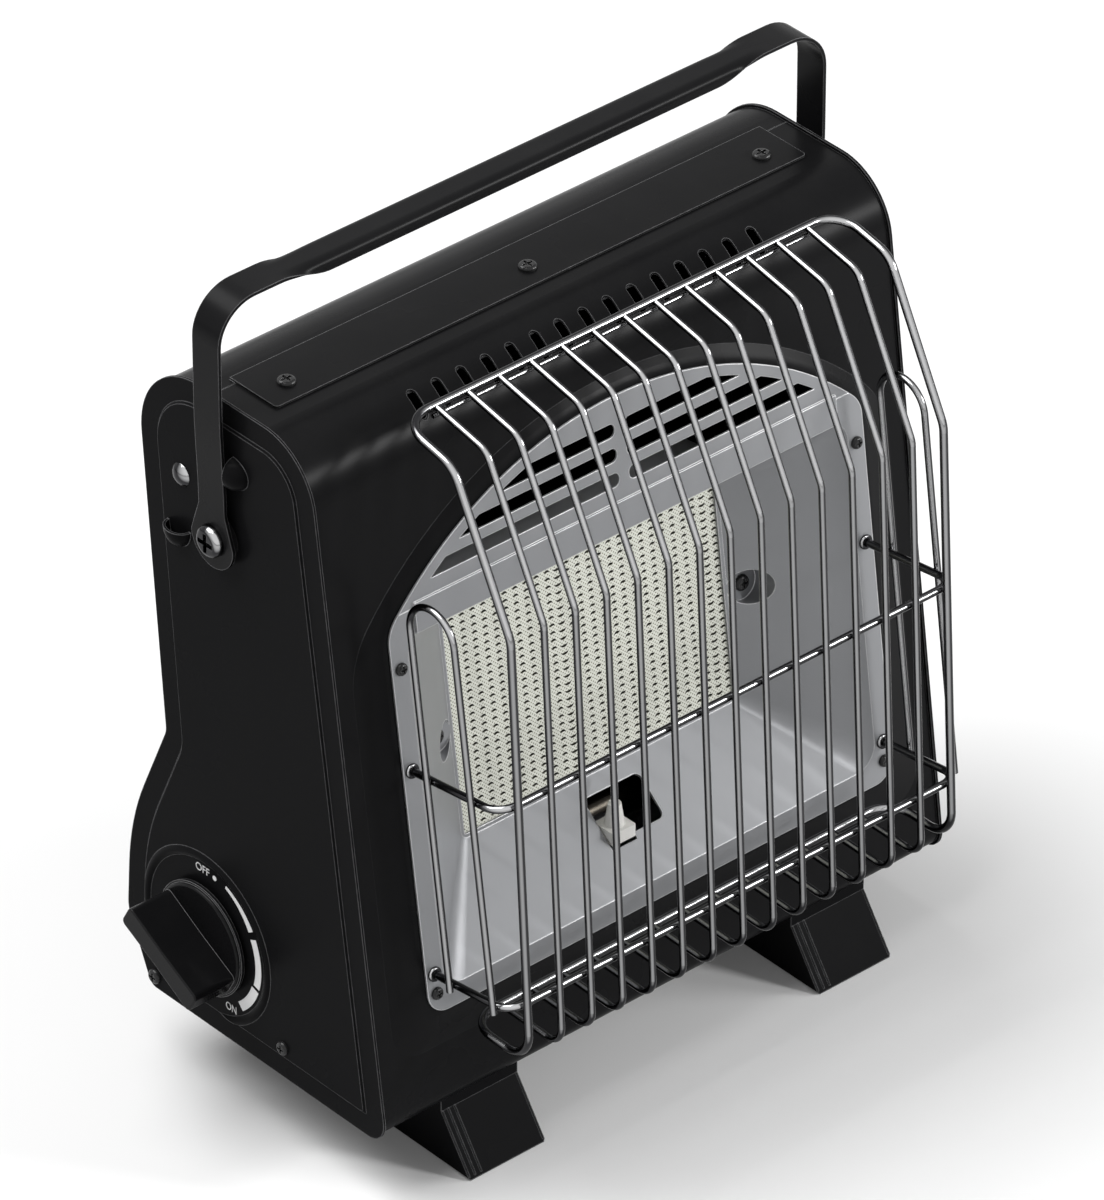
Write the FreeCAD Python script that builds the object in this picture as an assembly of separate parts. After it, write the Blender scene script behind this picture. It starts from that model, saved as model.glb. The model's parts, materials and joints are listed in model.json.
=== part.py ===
import FreeCAD
import Part
import math
import os

Vector = FreeCAD.Vector
along_x = Vector(1, 0, 0)

# Millimetres. X runs to the right seen from the front, Y to the back, Z up.
# While modelling, X = 0 is the middle plane, Y = 0 the lower front corner of the side panels
# and Z = 0 the floor. The finished model is moved so that its origin is under the middle of its box.

# Body outline, seen from the side
body_bottom = 25.5
body_top = 284.5
front_lean = 7.8
rear_lean = 4.5
base_depth = 122.1
bulge_low = 26.5
bulge_low_reach = 11.5
bulge_high = 64.5
bulge_high_reach = 9.1
waist_height = 111.0
waist_reach = -11.3
front_top_radius = 25.0
rear_top_radius = 30.0
front_corner_radius = 8.0
rear_corner_radius = 4.0
bulge_low_radius = 14.0
bulge_high_radius = 110.0
waist_radius = 8.0

# Side panels
panel_reach = 126.8
panel_sheet = 1.0
panel_border = 8.5
panel_raise = 0.8
rim_depth = 9.0
sheet_gap = 0.1

# Wrapped shells
shell_inset = 1.0
shell_sheet = 0.8
end_gap = 0.1
shell_split = 84.0
seam_gap = 0.2
screw_hole = 1.6
side_screw_y = 51.7
side_screw_z = 38.4
lower_return = 14.0
tongue_front = 63.5
tongue_reach = 116.0
lap_screw_spread = 104.0
vent_count = 15
vent_pitch = 10.6
vent_width = 3.7
vent_front = 22.0
vent_shoulder = 31.0
vent_back = 45.0
vent_depth = 10.7
rear_vent_columns = 11
rear_vent_rows = 3
rear_vent_pitch = 17.0
rear_vent_step = 12.0
rear_vent_low = 222.0
rear_vent_width = 4.0
rear_vent_reach = 5.5
boss_round = 10.0
screw_clear = 1.6

# Reflector, in a frame that leans with the front: v runs up the front, n stands out of it
tray_datum = 74.4
tray_stand = 2.9
tray_reach = 97.3
tray_flange = 7.2
tray_top = 134.5
tray_sheet = 0.8
tray_depth = 28.0
tray_corner = 9.0
fold_margin = 8.0
arch_radius = 143.0
arch_shoulder = 99.5
boss_side = 14.0
boss_top = 6.0
boss_bottom = 15.0
tray_screw_height = 123.1
tray_screw_inset = 3.5
dimple_reach = 68.3
dimple_radius = 6.5
window_width = 25.0
window_height = 17.5
window_drop = 6.5
notch_width = 11.0
notch_depth = 2.5
slot_rows = 3
slot_rise = 10.1
slot_pitch = 9.1
slot_height = 5.0
slot_edge = 4.0
slot_middle = 2.2
hood_reach = 93.0
lip_depth = 5.5
lip_gap = 0.3

# Burner
plaque_window = 121.0
plaque_low = 32.2
plaque_view = 82.5
plaque_width = 132.0
plaque_height = 92.0
plaque_thick = 12.0
plaque_joint = -9.6
gasket_thick = 1.5
burner_wall = 1.5
burner_hollow = 11.0
burner_play = 0.4
plaque_rest = 6.0
screw_bite = 8.0

# Guard, on the reflector's leaning frame
wire_radius = 1.25
frame_radius = 1.5
thin_radius = 0.9
guard_pitch = 13.5
guard_inner = 13
guard_reach = 95.2
guard_top_v = 214.8
guard_top_n = 7.2
guard_brow_v = 206.3
guard_brow_n = 31.7
guard_knee_v = 149.4
guard_knee_n = 52.0
guard_toe_v = -14.7
guard_toe_n = 38.7
guard_heel_v = -10.0
guard_heel_n = 8.4
guard_bend = 7.0
guard_corner = 11.0
bar_radius = 1.4
bar_reach = 101.0
bar_upper_v = 85.0
bar_lower_v = 7.5
bar_bend = 7.0
bar_foot = -6.0
clip_radius = 2.7
clip_height = 1.1
thin_along = 2.0
hoop_near = 11.0
hoop_far = 33.0
hoop_top = 154.5

# Handle
pivot_y = 78.9
pivot_z = 231.5
strap_width = 13.0
strap_thick = 1.3
strap_top = 324.5
strap_bend = 16.0
strap_flare = 1.2
lobe_radius = 10.5
spacer_thick = 2.6
spacer_radius = 8.6
grip_reach = 92.0
grip_hem = 4.0
pivot_hole = 2.6
stop_height = 5.0
stop_length = 12.0
stop_depth = 7.5
stop_gap = 0.4
front_stop_z = 260.0
rear_stop_y = 100.5
rivet_y = 98.9
rivet_z = 245.5
rivet_radius = 4.4
rivet_height = 2.2
rivet_hole = 1.6

# Gas control and cartridge bay
knob_y = 90.6
knob_z = 63.8
ring_inner = 29.5
ring_outer = 33.0
ring_raise = 0.9
mark_sheet = 0.1
mark_inner = 24.6
mark_outer = 28.2
knob_radius = 20.6
knob_base = 4.2
knob_bar_width = 10.5
knob_bar_length = 39.5
knob_reach = 21.2
knob_angle = 209.0
knob_gap = 0.8
spindle_radius = 3.0
spindle_flat = 8.0
collar_radius = 12.0
run_gap = 0.05
cartridge_radius = 33.0
cradle_play = 2.5
cradle_sheet = 0.8
partition_x = -85.0
partition_back = 112.0
regulator_radius = 16.0
regulator_length = 32.0
shield_bends = ((-39.1, -1.8), (-30.7, 12.7), (-22.6, 28.2), (-2.6, 40.2))
cradle_start = 14.0
cradle_end = 112.0
rail_spread = 12.5
shield_sheet = 0.8
shield_reach = 115.0

# Gas way: jet, venturi tube across the body and its riser into the burner box
venturi_y = 41.0
venturi_z = 82.0
venturi_radius = 8.0
venturi_wall = 1.0
venturi_start = -62.0
venturi_end = 30.0
bell_length = 6.0
bell_flare = 2.0
riser_radius = 4.5
riser_wall = 0.8
riser_set_back = 13.0
jet_radius = 5.0
jet_length = 12.0
jet_half_width = 9.0
pipe_radius = 2.5
pipe_bend = 5.5

# Ignition
piezo_y = 87.6
piezo_z = 91.8
piezo_radius = 6.5
piezo_length = 30.0
piezo_lug = 10.0
spark_x = -7.0
spark_y = 20.9
spark_z = 85.5
insulator_half = 5.0
insulator_block = 5.0
insulator_cone = 8.3
electrode_radius = 0.6
lead_radius = 1.2
lead_bend = 2.4
lead_y = 24.0
lead_rise = 1.6

# Door
door_inset = 0.7
door_sheet = 0.8
door_side_gap = 0.8
hinge_height = 4.7
hinge_inset = 4.3
hinge_bead = 3.9
hinge_pin = 1.95
door_top = 134.5
door_gap = 0.9

# Feet
foot_inner = 62.2
foot_width = 33.9
foot_sheet = 1.2
foot_front = -6.8
foot_shoulder_y = 7.6
foot_shoulder_z = 21.0
foot_back = 112.0
foot_bead = 0.35
foot_bead_spots = (0.5, 3.1, 5.8, 33.3)
foot_screw_front = 26.0
foot_screw_inset = 6.0

# Derived places
lean = math.radians(front_lean)
tail = math.radians(rear_lean)
panel_inner = panel_reach - panel_sheet
panel_face = panel_reach + panel_raise
shell_end = panel_inner - end_gap
pan_top = body_bottom + shell_inset + shell_sheet
rim_inset = shell_inset + shell_sheet + sheet_gap
strap_inner = panel_face + spacer_thick
strap_outer = strap_inner + strap_thick
plaque_front = tray_depth + tray_sheet + sheet_gap
bulge_y = base_depth + bulge_low_reach
hinge_z = body_bottom + hinge_height
hinge_y = base_depth + bulge_low_reach * hinge_height / bulge_low - hinge_inset
fold_height = tray_top + fold_margin
slot_low = fold_height + slot_rise
arch_middle = fold_height - math.sqrt(arch_radius ** 2 - arch_shoulder ** 2)
door_low_clear = hinge_bead + 0.6
plaque_middle = plaque_low + plaque_view / 2
burner_front = plaque_front + 1.2
burner_floor = plaque_front + plaque_thick + gasket_thick
burner_half = plaque_height / 2 + burner_play + burner_wall
regulator_start = partition_x - regulator_length
lap_y = (tongue_front + shell_split) / 2 - 1.0
seat_n = -tray_sheet - sheet_gap


def box(x0, x1, y0, y1, z0, z1):
    return Part.makeBox(x1 - x0, y1 - y0, z1 - z0, Vector(x0, y0, z0))


def rod(radius, start, end):
    along = end - start
    return Part.makeCylinder(radius, along.Length, start, along)


def arc_or_line(points):
    if len(points) == 2:
        return Part.LineSegment(points[0], points[1]).toShape()
    return Part.Arc(points[0], points[1], points[2]).toShape()


def bend_at(before, corner, after, radius):
    """The three points of a tangent arc that rounds one corner."""
    to_corner = (corner - before).normalize()
    from_corner = (after - corner).normalize()
    turn = to_corner.getAngle(from_corner)
    reach = radius * math.tan(turn / 2)
    inward = (from_corner - to_corner).normalize()
    middle = corner + inward * (radius / math.cos(turn / 2) - radius)
    return [corner - to_corner * reach, middle, corner + from_corner * reach]


def closed_wire(corners):
    """A closed wire through (point, radius) corners, each rounded by its radius."""
    bends = []
    for index, (point, radius) in enumerate(corners):
        before = corners[index - 1][0]
        after = corners[(index + 1) % len(corners)][0]
        bends.append(bend_at(before, point, after, radius) if radius > 0 else [point])
    edges = []
    for index, bend in enumerate(bends):
        following = bends[(index + 1) % len(bends)]
        if len(bend) == 3:
            edges.append(arc_or_line(bend))
        edges.append(arc_or_line([bend[-1], following[0]]))
    return Part.Wire(edges)


def tube(points, bend, radius):
    """A round wire along straight runs joined by tangent arcs."""
    edges = []
    start = points[0]
    for index in range(1, len(points) - 1):
        arc = bend_at(points[index - 1], points[index], points[index + 1], bend)
        edges.append(arc_or_line([start, arc[0]]))
        edges.append(arc_or_line(arc))
        start = arc[2]
    edges.append(arc_or_line([start, points[-1]]))
    path = Part.Wire(edges)
    section = Part.Wire([Part.makeCircle(radius, points[0], points[1] - points[0])])
    return path.makePipeShell([section], True, False)


def outline_corners():
    """Corners (y, z, radius) of the side panels, counter-clockwise seen from the right."""
    height = body_top - body_bottom
    rear_y = base_depth + waist_reach
    return [
        (0.0, body_bottom, front_corner_radius),
        (base_depth, body_bottom, rear_corner_radius),
        (bulge_y, body_bottom + bulge_low, bulge_low_radius),
        (base_depth + bulge_high_reach, body_bottom + bulge_high, bulge_high_radius),
        (rear_y, body_bottom + waist_height, -waist_radius),
        (rear_y + (height - waist_height) * math.tan(tail), body_top, rear_top_radius),
        (height * math.tan(lean), body_top, front_top_radius),
    ]


def inset_corners(corners, inset):
    """The same corners moved inward; a negative radius marks the hollow corner."""
    moved = []
    for index, (y, z, radius) in enumerate(corners):
        before = corners[index - 1]
        after = corners[(index + 1) % len(corners)]
        first = Vector(0, y - before[0], z - before[1]).normalize()
        second = Vector(0, after[0] - y, after[1] - z).normalize()
        inward_a = Vector(0, -first.z, first.y)
        inward_b = Vector(0, -second.z, second.y)
        half = inward_a + inward_b
        point = Vector(0, y, z) + half * (inset / half.dot(inward_a))
        moved.append((point, abs(radius - inset)))
    return moved


def outline(inset, x0, x1):
    """The body's side outline as a solid between two X planes."""
    wire = closed_wire(inset_corners(outline_corners(), inset))
    wire.translate(Vector(x0, 0, 0))
    return Part.Face(wire).extrude(Vector(x1 - x0, 0, 0))


def wrap(outer, sheet, x0, x1):
    """A sheet that follows the outline all the way round."""
    return outline(outer, x0, x1).cut(outline(outer + sheet, x0 - 1, x1 + 1))


def to_front(shape):
    """Move a shape from the leaning frame (x, v, n) to the model."""
    y = (tray_datum - body_bottom) * math.tan(lean) - tray_stand * math.cos(lean)
    z = tray_datum + tray_stand * math.sin(lean)
    place = FreeCAD.Placement(Vector(0, y, z), FreeCAD.Rotation(Vector(1, 0, 0), 90 - front_lean))
    moved = shape.copy()
    moved.Placement = place.multiply(moved.Placement)
    return moved


def mirror(shape):
    return shape.mirror(Vector(0, 0, 0), Vector(1, 0, 0))


def pair(shape):
    return Part.makeCompound([shape, mirror(shape)])


def screw(head_radius, head_height, shank_radius, length, seat, inward):
    """A domed pan-head screw with a cross recess; seat is where the head lands."""
    head = Part.makeCylinder(head_radius, head_height, Vector(0, 0, 0), Vector(0, 0, 1))
    rim = [edge for edge in head.Edges if abs(edge.CenterOfMass.z - head_height) < 0.01]
    head = head.makeFillet(min(head_height * 0.8, head_radius * 0.6), rim)
    slot = head_radius * 0.16
    reach = head_radius * 0.62
    depth = head_height * 0.55
    for wide, tall in ((reach, slot), (slot, reach)):
        head = head.cut(box(-wide, wide, -tall, tall, head_height - depth, head_height + 1))
    shank = Part.makeCylinder(shank_radius, length, Vector(0, 0, 0), Vector(0, 0, -1))
    whole = head.fuse(shank)
    whole.Placement = FreeCAD.Placement(seat, FreeCAD.Rotation(Vector(0, 0, -1), inward))
    return whole


# Side panels


def stop_lance():
    """A half-round tongue pressed out of the panel; its flat side faces +Z, at the origin."""
    ball = Part.makeSphere(1.0)
    stretch = FreeCAD.Matrix()
    stretch.scale(stop_height, stop_length / 2, stop_depth)
    shell = ball.transformGeometry(stretch)
    inner = FreeCAD.Matrix()
    inner.scale(stop_height - panel_sheet, stop_length / 2 - panel_sheet, stop_depth - panel_sheet)
    hollow = ball.transformGeometry(inner)
    keep = box(-stop_height - 1, panel_sheet / 2, -stop_length, stop_length, -stop_depth - 1, 0)
    return shell.common(keep).cut(hollow)


def outline_wire(inset, x):
    wire = closed_wire(inset_corners(outline_corners(), inset))
    wire.translate(Vector(x, 0, 0))
    return wire


def bare_left_panel():
    """Border, raised field with a hollow back, and the rim the shells are fixed to."""
    step = panel_border + panel_raise
    border = wrap(0, step, -panel_reach, -panel_inner)
    wires = [outline_wire(panel_border, -panel_reach), outline_wire(step, -panel_face)]
    field = Part.makeLoft(wires, True, True)
    field = field.fuse(outline(panel_border, -panel_reach, -panel_face + panel_sheet))
    rim = wrap(rim_inset, panel_sheet, -panel_inner - panel_sheet / 2, -panel_inner + rim_depth)
    start = Vector(-panel_inner, hinge_y, hinge_z)
    rim = rim.cut(rod(door_low_clear, start, start + Vector(rim_depth + 1, 0, 0)))
    return border.fuse([field, rim])


def add_stops(panel):
    front = stop_lance()
    front.rotate(Vector(0, 0, 0), Vector(1, 0, 0), -90)
    front.translate(Vector(-panel_face, pivot_y - strap_width / 2 - stop_gap, front_stop_z))
    rear = stop_lance()
    rear.translate(Vector(-panel_face, rear_stop_y, pivot_z - strap_width / 2 - stop_gap))
    return panel.fuse([front, rear])


def drill_panel(panel):
    holes = [(pivot_y, pivot_z, pivot_hole), (rivet_y, rivet_z, rivet_hole)]
    holes += [(hinge_y, hinge_z, hinge_pin + run_gap), (side_screw_y, side_screw_z, screw_hole)]
    for y, z, radius in holes:
        panel = panel.cut(rod(radius, Vector(-strap_outer - 9, y, z), Vector(-panel_inner + 0.5, y, z)))
    return panel


def dial_ring():
    """The round-backed ridge about the knob, sunk a little into the panel's field."""
    half = (ring_outer - ring_inner) / 2
    round_back = (half ** 2 + ring_raise ** 2) / (2 * ring_raise)
    middle = Vector(-panel_face + round_back - ring_raise, knob_y, knob_z)
    ridge = Part.makeTorus(ring_inner + half, round_back, middle, Vector(1, 0, 0))
    field = outline(panel_border + panel_raise, -panel_face - ring_raise - 1, -panel_face + panel_sheet / 2)
    return ridge.common(field)


def left_side_panel():
    spot = Vector(-panel_face, knob_y, knob_z)
    panel = add_stops(bare_left_panel().fuse(dial_ring()))
    stem = rod(spindle_radius + 1.5, spot - along_x * 3, spot + along_x * 3)
    return drill_panel(panel.cut(stem))


def arc_pad(inner, outer, start, end):
    """A thin printed arc on the panel about the knob; angles run from the back up."""
    sweep = end - start
    spot = Vector(-panel_face - mark_sheet, knob_y, knob_z)
    pad = Part.makeCylinder(outer, mark_sheet, spot, Vector(1, 0, 0), sweep)
    pad = pad.cut(Part.makeCylinder(inner, mark_sheet, spot, Vector(1, 0, 0), 360))
    low = min(pad.Vertexes, key=lambda corner: angle_from_back(corner.Point))
    pad.rotate(spot, Vector(1, 0, 0), start - angle_from_back(low.Point))
    return pad


def angle_from_back(point):
    return math.degrees(math.atan2(point.z - knob_z, point.y - knob_y)) % 360


def dial_marks():
    """The printed setting marks: a dot for off, then arcs that widen towards full."""
    middle = (mark_inner + mark_outer) / 2
    turn = math.radians(100)
    spot = Vector(-panel_face, knob_y + middle * math.cos(turn), knob_z + middle * math.sin(turn))
    dot = rod(1.0, spot, spot - Vector(mark_sheet, 0, 0))
    pads = [arc_pad(mark_outer - 1.8, mark_outer, 112, 149)]
    pads.append(arc_pad(mark_outer - 3.0, mark_outer, 155, 197))
    pads.append(arc_pad(mark_inner, mark_outer, 200, 230))
    return Part.makeCompound([dot] + pads)


def right_side_panel():
    return mirror(drill_panel(add_stops(bare_left_panel())))


def side_screws():
    return pair(screw(2.6, 1.4, 1.5, 8.0, Vector(-panel_face, side_screw_y, side_screw_z), Vector(1, 0, 0)))


# Shells


def front_rect(reach, low, high, corner, n):
    """A rounded rectangle wire on the leaning frame."""
    corners = [(Vector(-reach, low, n), corner), (Vector(reach, low, n), corner)]
    corners += [(Vector(reach, high, n), corner), (Vector(-reach, high, n), corner)]
    return closed_wire(corners)


def corner_edges(solid, v):
    """The straight edges along n at height v."""
    found = []
    for edge in solid.Edges:
        limits = edge.BoundBox
        upright = limits.ZLength > 0.5 and limits.XLength < 0.01 and limits.YLength < 0.01
        if upright and abs(limits.YMin - v) < 0.5:
            found.append(edge)
    return found


def arch_wire(reach, low, radius, shoulder, corner, n):
    """A doorway outline: straight foot and sides under one round arch."""
    shoulder_v = arch_middle + math.sqrt(radius ** 2 - reach ** 2)
    crown = Vector(0, arch_middle + radius, n)
    left = Vector(-reach, shoulder_v, n)
    right = Vector(reach, shoulder_v, n)
    foot = Part.Wire([
        arc_or_line([right, crown, left]),
        arc_or_line([left, Vector(-reach, low, n)]),
        arc_or_line([Vector(-reach, low, n), Vector(reach, low, n)]),
        arc_or_line([Vector(reach, low, n), right]),
    ])
    solid = Part.Face(foot).extrude(Vector(0, 0, 1))
    solid = solid.makeFillet(corner, corner_edges(solid, low))
    solid = solid.makeFillet(shoulder, corner_edges(solid, shoulder_v))
    flat = [face for face in solid.Faces if abs(face.CenterOfMass.z - n) < 0.01]
    return flat[0].OuterWire


def boss(grow, low_n, high_n):
    """The raised doorway of the front shell, as a solid with sloping sides."""
    flange = tray_reach + tray_flange
    base = arch_wire(flange + boss_side + grow, -tray_flange - boss_bottom - grow,
                     arch_radius + boss_top + grow, 34.0, 12.0, low_n)
    top = arch_wire(flange + 1.0 + grow, -tray_flange - 1.5 - grow,
                    arch_radius + 1.0 + grow, 12.0, 8.0, high_n)
    block = Part.makeLoft([base, top], True, True)
    rims = [edge for edge in block.Edges if edge.BoundBox.ZMin > high_n - 0.01]
    return block.makeFillet(boss_round + grow, rims)


def front_shell():
    ring = wrap(shell_inset, shell_sheet, -shell_end, shell_end)
    keep = box(-200, 200, -60, 60, 60, 400)
    keep = keep.fuse(box(-200, 200, -60, shell_split, 250, 400))
    keep = keep.fuse(box(-200, 200, -60, lower_return, 0, 60))
    shell = ring.common(keep)
    face_n = -tray_stand - shell_inset
    raised = to_front(boss(0, face_n - 0.01, seat_n))
    hollow = to_front(boss(-shell_sheet, face_n - shell_sheet - 0.5, seat_n - shell_sheet))
    through = to_front(boss(-shell_sheet * 1.5, face_n - 6, face_n + 0.5))
    shell = shell.cut(through).fuse(raised.cut(hollow))
    opening = arch_wire(tray_reach + 1.7, -2.4, arch_radius - 3.6, 4.0, 6.0, -20)
    shell = shell.cut(to_front(Part.Face(opening).extrude(Vector(0, 0, 40))))
    for index in range(vent_count):
        shell = shell.cut(vent((index - (vent_count - 1) / 2) * vent_pitch))
    for x, v in tray_screw_spots() + bar_spots():
        shell = shell.cut(to_front(rod(screw_clear, Vector(x, v, -12), Vector(x, v, 5))))
    return drill_lap(shell)


def drill_lap(shell):
    """The holes of the three screws that join the shells at the top."""
    for x in (-lap_screw_spread, 0, lap_screw_spread):
        top = Vector(x, lap_y, body_top + 5)
        shell = shell.cut(rod(screw_clear, top - Vector(0, 0, 13), top))
    return shell


def vent(x):
    """One rounded slot over the front roll of the shell."""
    half = vent_width / 2
    low = body_top - vent_depth
    slot = box(x - half, x + half, vent_shoulder, vent_back, low + half, body_top + 2)
    nose = rod(half, Vector(x, vent_front, low + half), Vector(x, vent_back, low + half))
    tip = rod(half, Vector(x, vent_back, low), Vector(x, vent_back, body_top + 2))
    front = box(x - half, x + half, vent_front, vent_shoulder, low + half, body_top - 3)
    return slot.fuse([nose, tip, front])


def rear_shell():
    ring = wrap(shell_inset, shell_sheet, -shell_end, shell_end)
    shell = ring.common(box(-200, 200, shell_split + seam_gap, 300, door_top + door_gap, 400))
    seat = body_top - shell_inset + sheet_gap
    tongue = box(-tongue_reach, tongue_reach, tongue_front, shell_split + 3.0, seat, seat + shell_sheet)
    corners = [e for e in tongue.Edges if e.BoundBox.ZLength > 0.5 and e.BoundBox.YMin < tongue_front + 1]
    tongue = tongue.makeFillet(1.5, corners)
    low = seat - shell_sheet - sheet_gap
    rise = box(-tongue_reach, tongue_reach, shell_split + seam_gap, shell_split + 3.0, low, seat + sheet_gap)
    shell = drill_lap(shell.fuse([tongue, rise, shelf()]))
    for row in range(rear_vent_rows):
        for column in range(rear_vent_columns):
            x = (column - (rear_vent_columns - 1) / 2) * rear_vent_pitch
            shell = shell.cut(rear_vent(x, rear_vent_low + row * rear_vent_step))
    return shell


def rear_vent(x, z):
    half = rear_vent_width / 2
    front = base_depth + waist_reach - 10
    back = base_depth + 20
    run = box(x - rear_vent_reach, x + rear_vent_reach, front, back, z - half, z + half)
    ends = []
    for side in (-1, 1):
        end_x = x + side * rear_vent_reach
        ends.append(rod(half, Vector(end_x, front, z), Vector(end_x, back, z)))
    return run.fuse(ends)


def shelf():
    """The return under the rear shell that carries the heat shield and the door magnet."""
    z = door_top + door_gap
    return box(-shield_reach, shield_reach, shelf_front(), waist_inner(z + 0.4), z, z + shell_sheet)


def rear_line(z, inset):
    """Y of the bulge's upper slope at height z, moved inward square to the slope."""
    top_y = base_depth + waist_reach
    run_y = bulge_high_reach - waist_reach
    run_z = waist_height - bulge_high
    y = top_y + (body_bottom + waist_height - z) * run_y / run_z
    return y - inset * math.hypot(run_y, run_z) / run_z


def waist_inner(z):
    return rear_line(z, shell_inset + shell_sheet) + 0.6


def shelf_front():
    return rear_line(door_top, 0) - 9.0


def lap_screws():
    seat = body_top - shell_inset + sheet_gap + shell_sheet
    made = []
    for x in (-lap_screw_spread, 0, lap_screw_spread):
        made.append(screw(3.3, 1.5, 1.45, 7.0, Vector(x, lap_y, seat), Vector(0, 0, -1)))
    return Part.makeCompound(made)


def base_pan():
    ring = wrap(shell_inset, shell_sheet, -shell_end, shell_end)
    pan = ring.common(box(-200, 200, lower_return + seam_gap, hinge_y - door_low_clear, 0, 100))
    for side in (-1, 1):
        for y in foot_screw_spots():
            x = side * (foot_inner + foot_width / 2)
            pan = pan.cut(rod(screw_clear, Vector(x, y, 10), Vector(x, y, 40)))
    for index in range(-4, 5):
        slot = box(index * 11 - 1.8, index * 11 + 1.8, 24, 44, body_bottom, pan_top + 1)
        pan = pan.cut(slot)
    return pan


def foot_screw_spots():
    return (foot_screw_front, foot_back - foot_screw_inset)


def foot_channel(inset, low, high):
    """The foot's side outline between its two cheeks, moved inward by inset."""
    slope = (foot_shoulder_y - foot_front) / foot_shoulder_z
    front_low = foot_front + inset * math.hypot(1, slope) + slope * low
    front_high = foot_front + inset * math.hypot(1, slope) + slope * foot_shoulder_z
    points = [Vector(0, front_low, low), Vector(0, foot_back - inset, low)]
    points += [Vector(0, foot_back - inset, high), Vector(0, front_high, high)]
    points += [Vector(0, front_high, foot_shoulder_z), Vector(0, front_low, low)]
    face = Part.Face(Part.makePolygon(points))
    run = face.extrude(Vector(foot_width - 2 * inset, 0, 0))
    run.translate(Vector(foot_inner + inset, 0, 0))
    return run


def foot_right():
    top = body_bottom + shell_inset
    foot = foot_channel(0, 0, top).cut(foot_channel(foot_sheet, foot_sheet, top - foot_sheet))
    floor_edges = []
    for edge in foot.Edges:
        flat = edge.BoundBox.ZMax < 0.01 and edge.BoundBox.XLength < 0.01
        if flat:
            floor_edges.append(edge)
    foot = foot.makeChamfer(0.8, floor_edges)
    foot = foot.cut(outline(0, foot_inner - 1, foot_inner + foot_width + 1).cut(outline(shell_inset, 0, 200)))
    foot = foot.common(foot_clear()).fuse(foot_beads())
    for y in foot_screw_spots():
        x = foot_inner + foot_width / 2
        foot = foot.cut(rod(screw_clear, Vector(x, y, foot_sheet + 2), Vector(x, y, 40)))
        foot = foot.cut(rod(3.6, Vector(x, y, -1), Vector(x, y, foot_sheet + 1)))
    return foot


def foot_beads():
    """The folded edges that show as fine beads down the foot's sloping front."""
    slope = (foot_shoulder_y - foot_front) / foot_shoulder_z
    low = 1.0
    made = []
    for spot in foot_bead_spots:
        x = foot_inner + spot
        start = Vector(x, foot_front + slope * low, low)
        made.append(rod(foot_bead, start, Vector(x, foot_shoulder_y, foot_shoulder_z)))
    return made


def foot_left():
    """The same pressing as the right foot, not its mirror image."""
    foot = foot_right()
    foot.translate(Vector(-2 * foot_inner - foot_width, 0, 0))
    return foot


def foot_clear():
    """The space below the base, where the feet may be."""
    z = body_bottom + shell_inset
    return box(-200, 200, -60, 200, -1, z)


def foot_screws():
    made = []
    for y in foot_screw_spots():
        seat = Vector(foot_inner + foot_width / 2, y, body_bottom + shell_inset - foot_sheet)
        made.append(screw(3.0, 1.4, 1.45, 3.2, seat, Vector(0, 0, 1)))
    return Part.makeCompound(made + [mirror(one) for one in made])


# Reflector


def tray_screw_spots():
    x = tray_reach + tray_screw_inset
    return [(-x, 0.0), (x, 0.0), (-x, tray_screw_height), (x, tray_screw_height)]


def bar_spots():
    return [(side * bar_reach, v) for side in (-1, 1) for v in (bar_lower_v, bar_upper_v)]


def hopper(grow, depth):
    """The open space in front of the burner, between the flange and the plaques."""
    low = plaque_low - 1.5
    high = plaque_low + plaque_view + 1.5
    back = plaque_window / 2 + 1.5
    mouth = front_rect(tray_reach + grow, -grow, tray_top + grow, tray_corner + grow, 0.0)
    end = front_rect(back + grow, low - grow, high + grow, 3.0 + grow, -depth)
    return Part.makeLoft([mouth, end], True, True)


def window_cut():
    """The opening in the lower slope, square to that slope, with a notch for the insulator."""
    drop = plaque_low - 1.5
    slope = math.atan2(tray_depth, drop)
    high = math.hypot(tray_depth, drop) - window_drop
    low = high - window_height
    half = window_width / 2
    hole = box(-half, half, low, high, -window_drop, window_drop)
    uprights = [e for e in hole.Edges if e.BoundBox.ZLength > window_drop]
    hole = hole.makeFillet(2.5, uprights)
    side = notch_width / 2
    notch = box(spark_x - side, spark_x + side, low - notch_depth, low + 3.0, -window_drop, window_drop)
    hole = hole.fuse(notch)
    hole.rotate(Vector(0, 0, 0), Vector(1, 0, 0), -math.degrees(slope))
    return hole


def reflector_tray():
    void = hopper(0, tray_depth)
    walls = hopper(1.1, tray_depth + tray_sheet)
    plate = doorway().cut(box(-200, 200, fold_height, 300, -5, 5))
    tray = walls.fuse(plate).cut(void)
    seen = front_rect(plaque_window / 2, plaque_low, plaque_low + plaque_view, 1.0, -tray_depth - 2)
    tray = tray.cut(Part.Face(seen).extrude(Vector(0, 0, 4)))
    tray = tray.cut(window_cut())
    for side in (-1, 1):
        x = side * dimple_reach
        front = Vector(x, plaque_middle, 0)
        cup_in = rod(dimple_radius, Vector(x, plaque_middle, -tray_depth), front)
        floor = Vector(x, plaque_middle, -tray_depth - tray_sheet)
        cup_out = rod(dimple_radius + tray_sheet, floor, front)
        cup = cup_out.cut(cup_in).cut(void)
        tray = tray.cut(cup_in).fuse(cup)
        tray = tray.cut(rod(screw_clear, floor - Vector(0, 0, tray_sheet), front))
    for x, v in tray_screw_spots() + bar_spots():
        tray = tray.cut(rod(screw_clear, Vector(x, v, -5), Vector(x, v, 5)))
    return to_front(tray)


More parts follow.
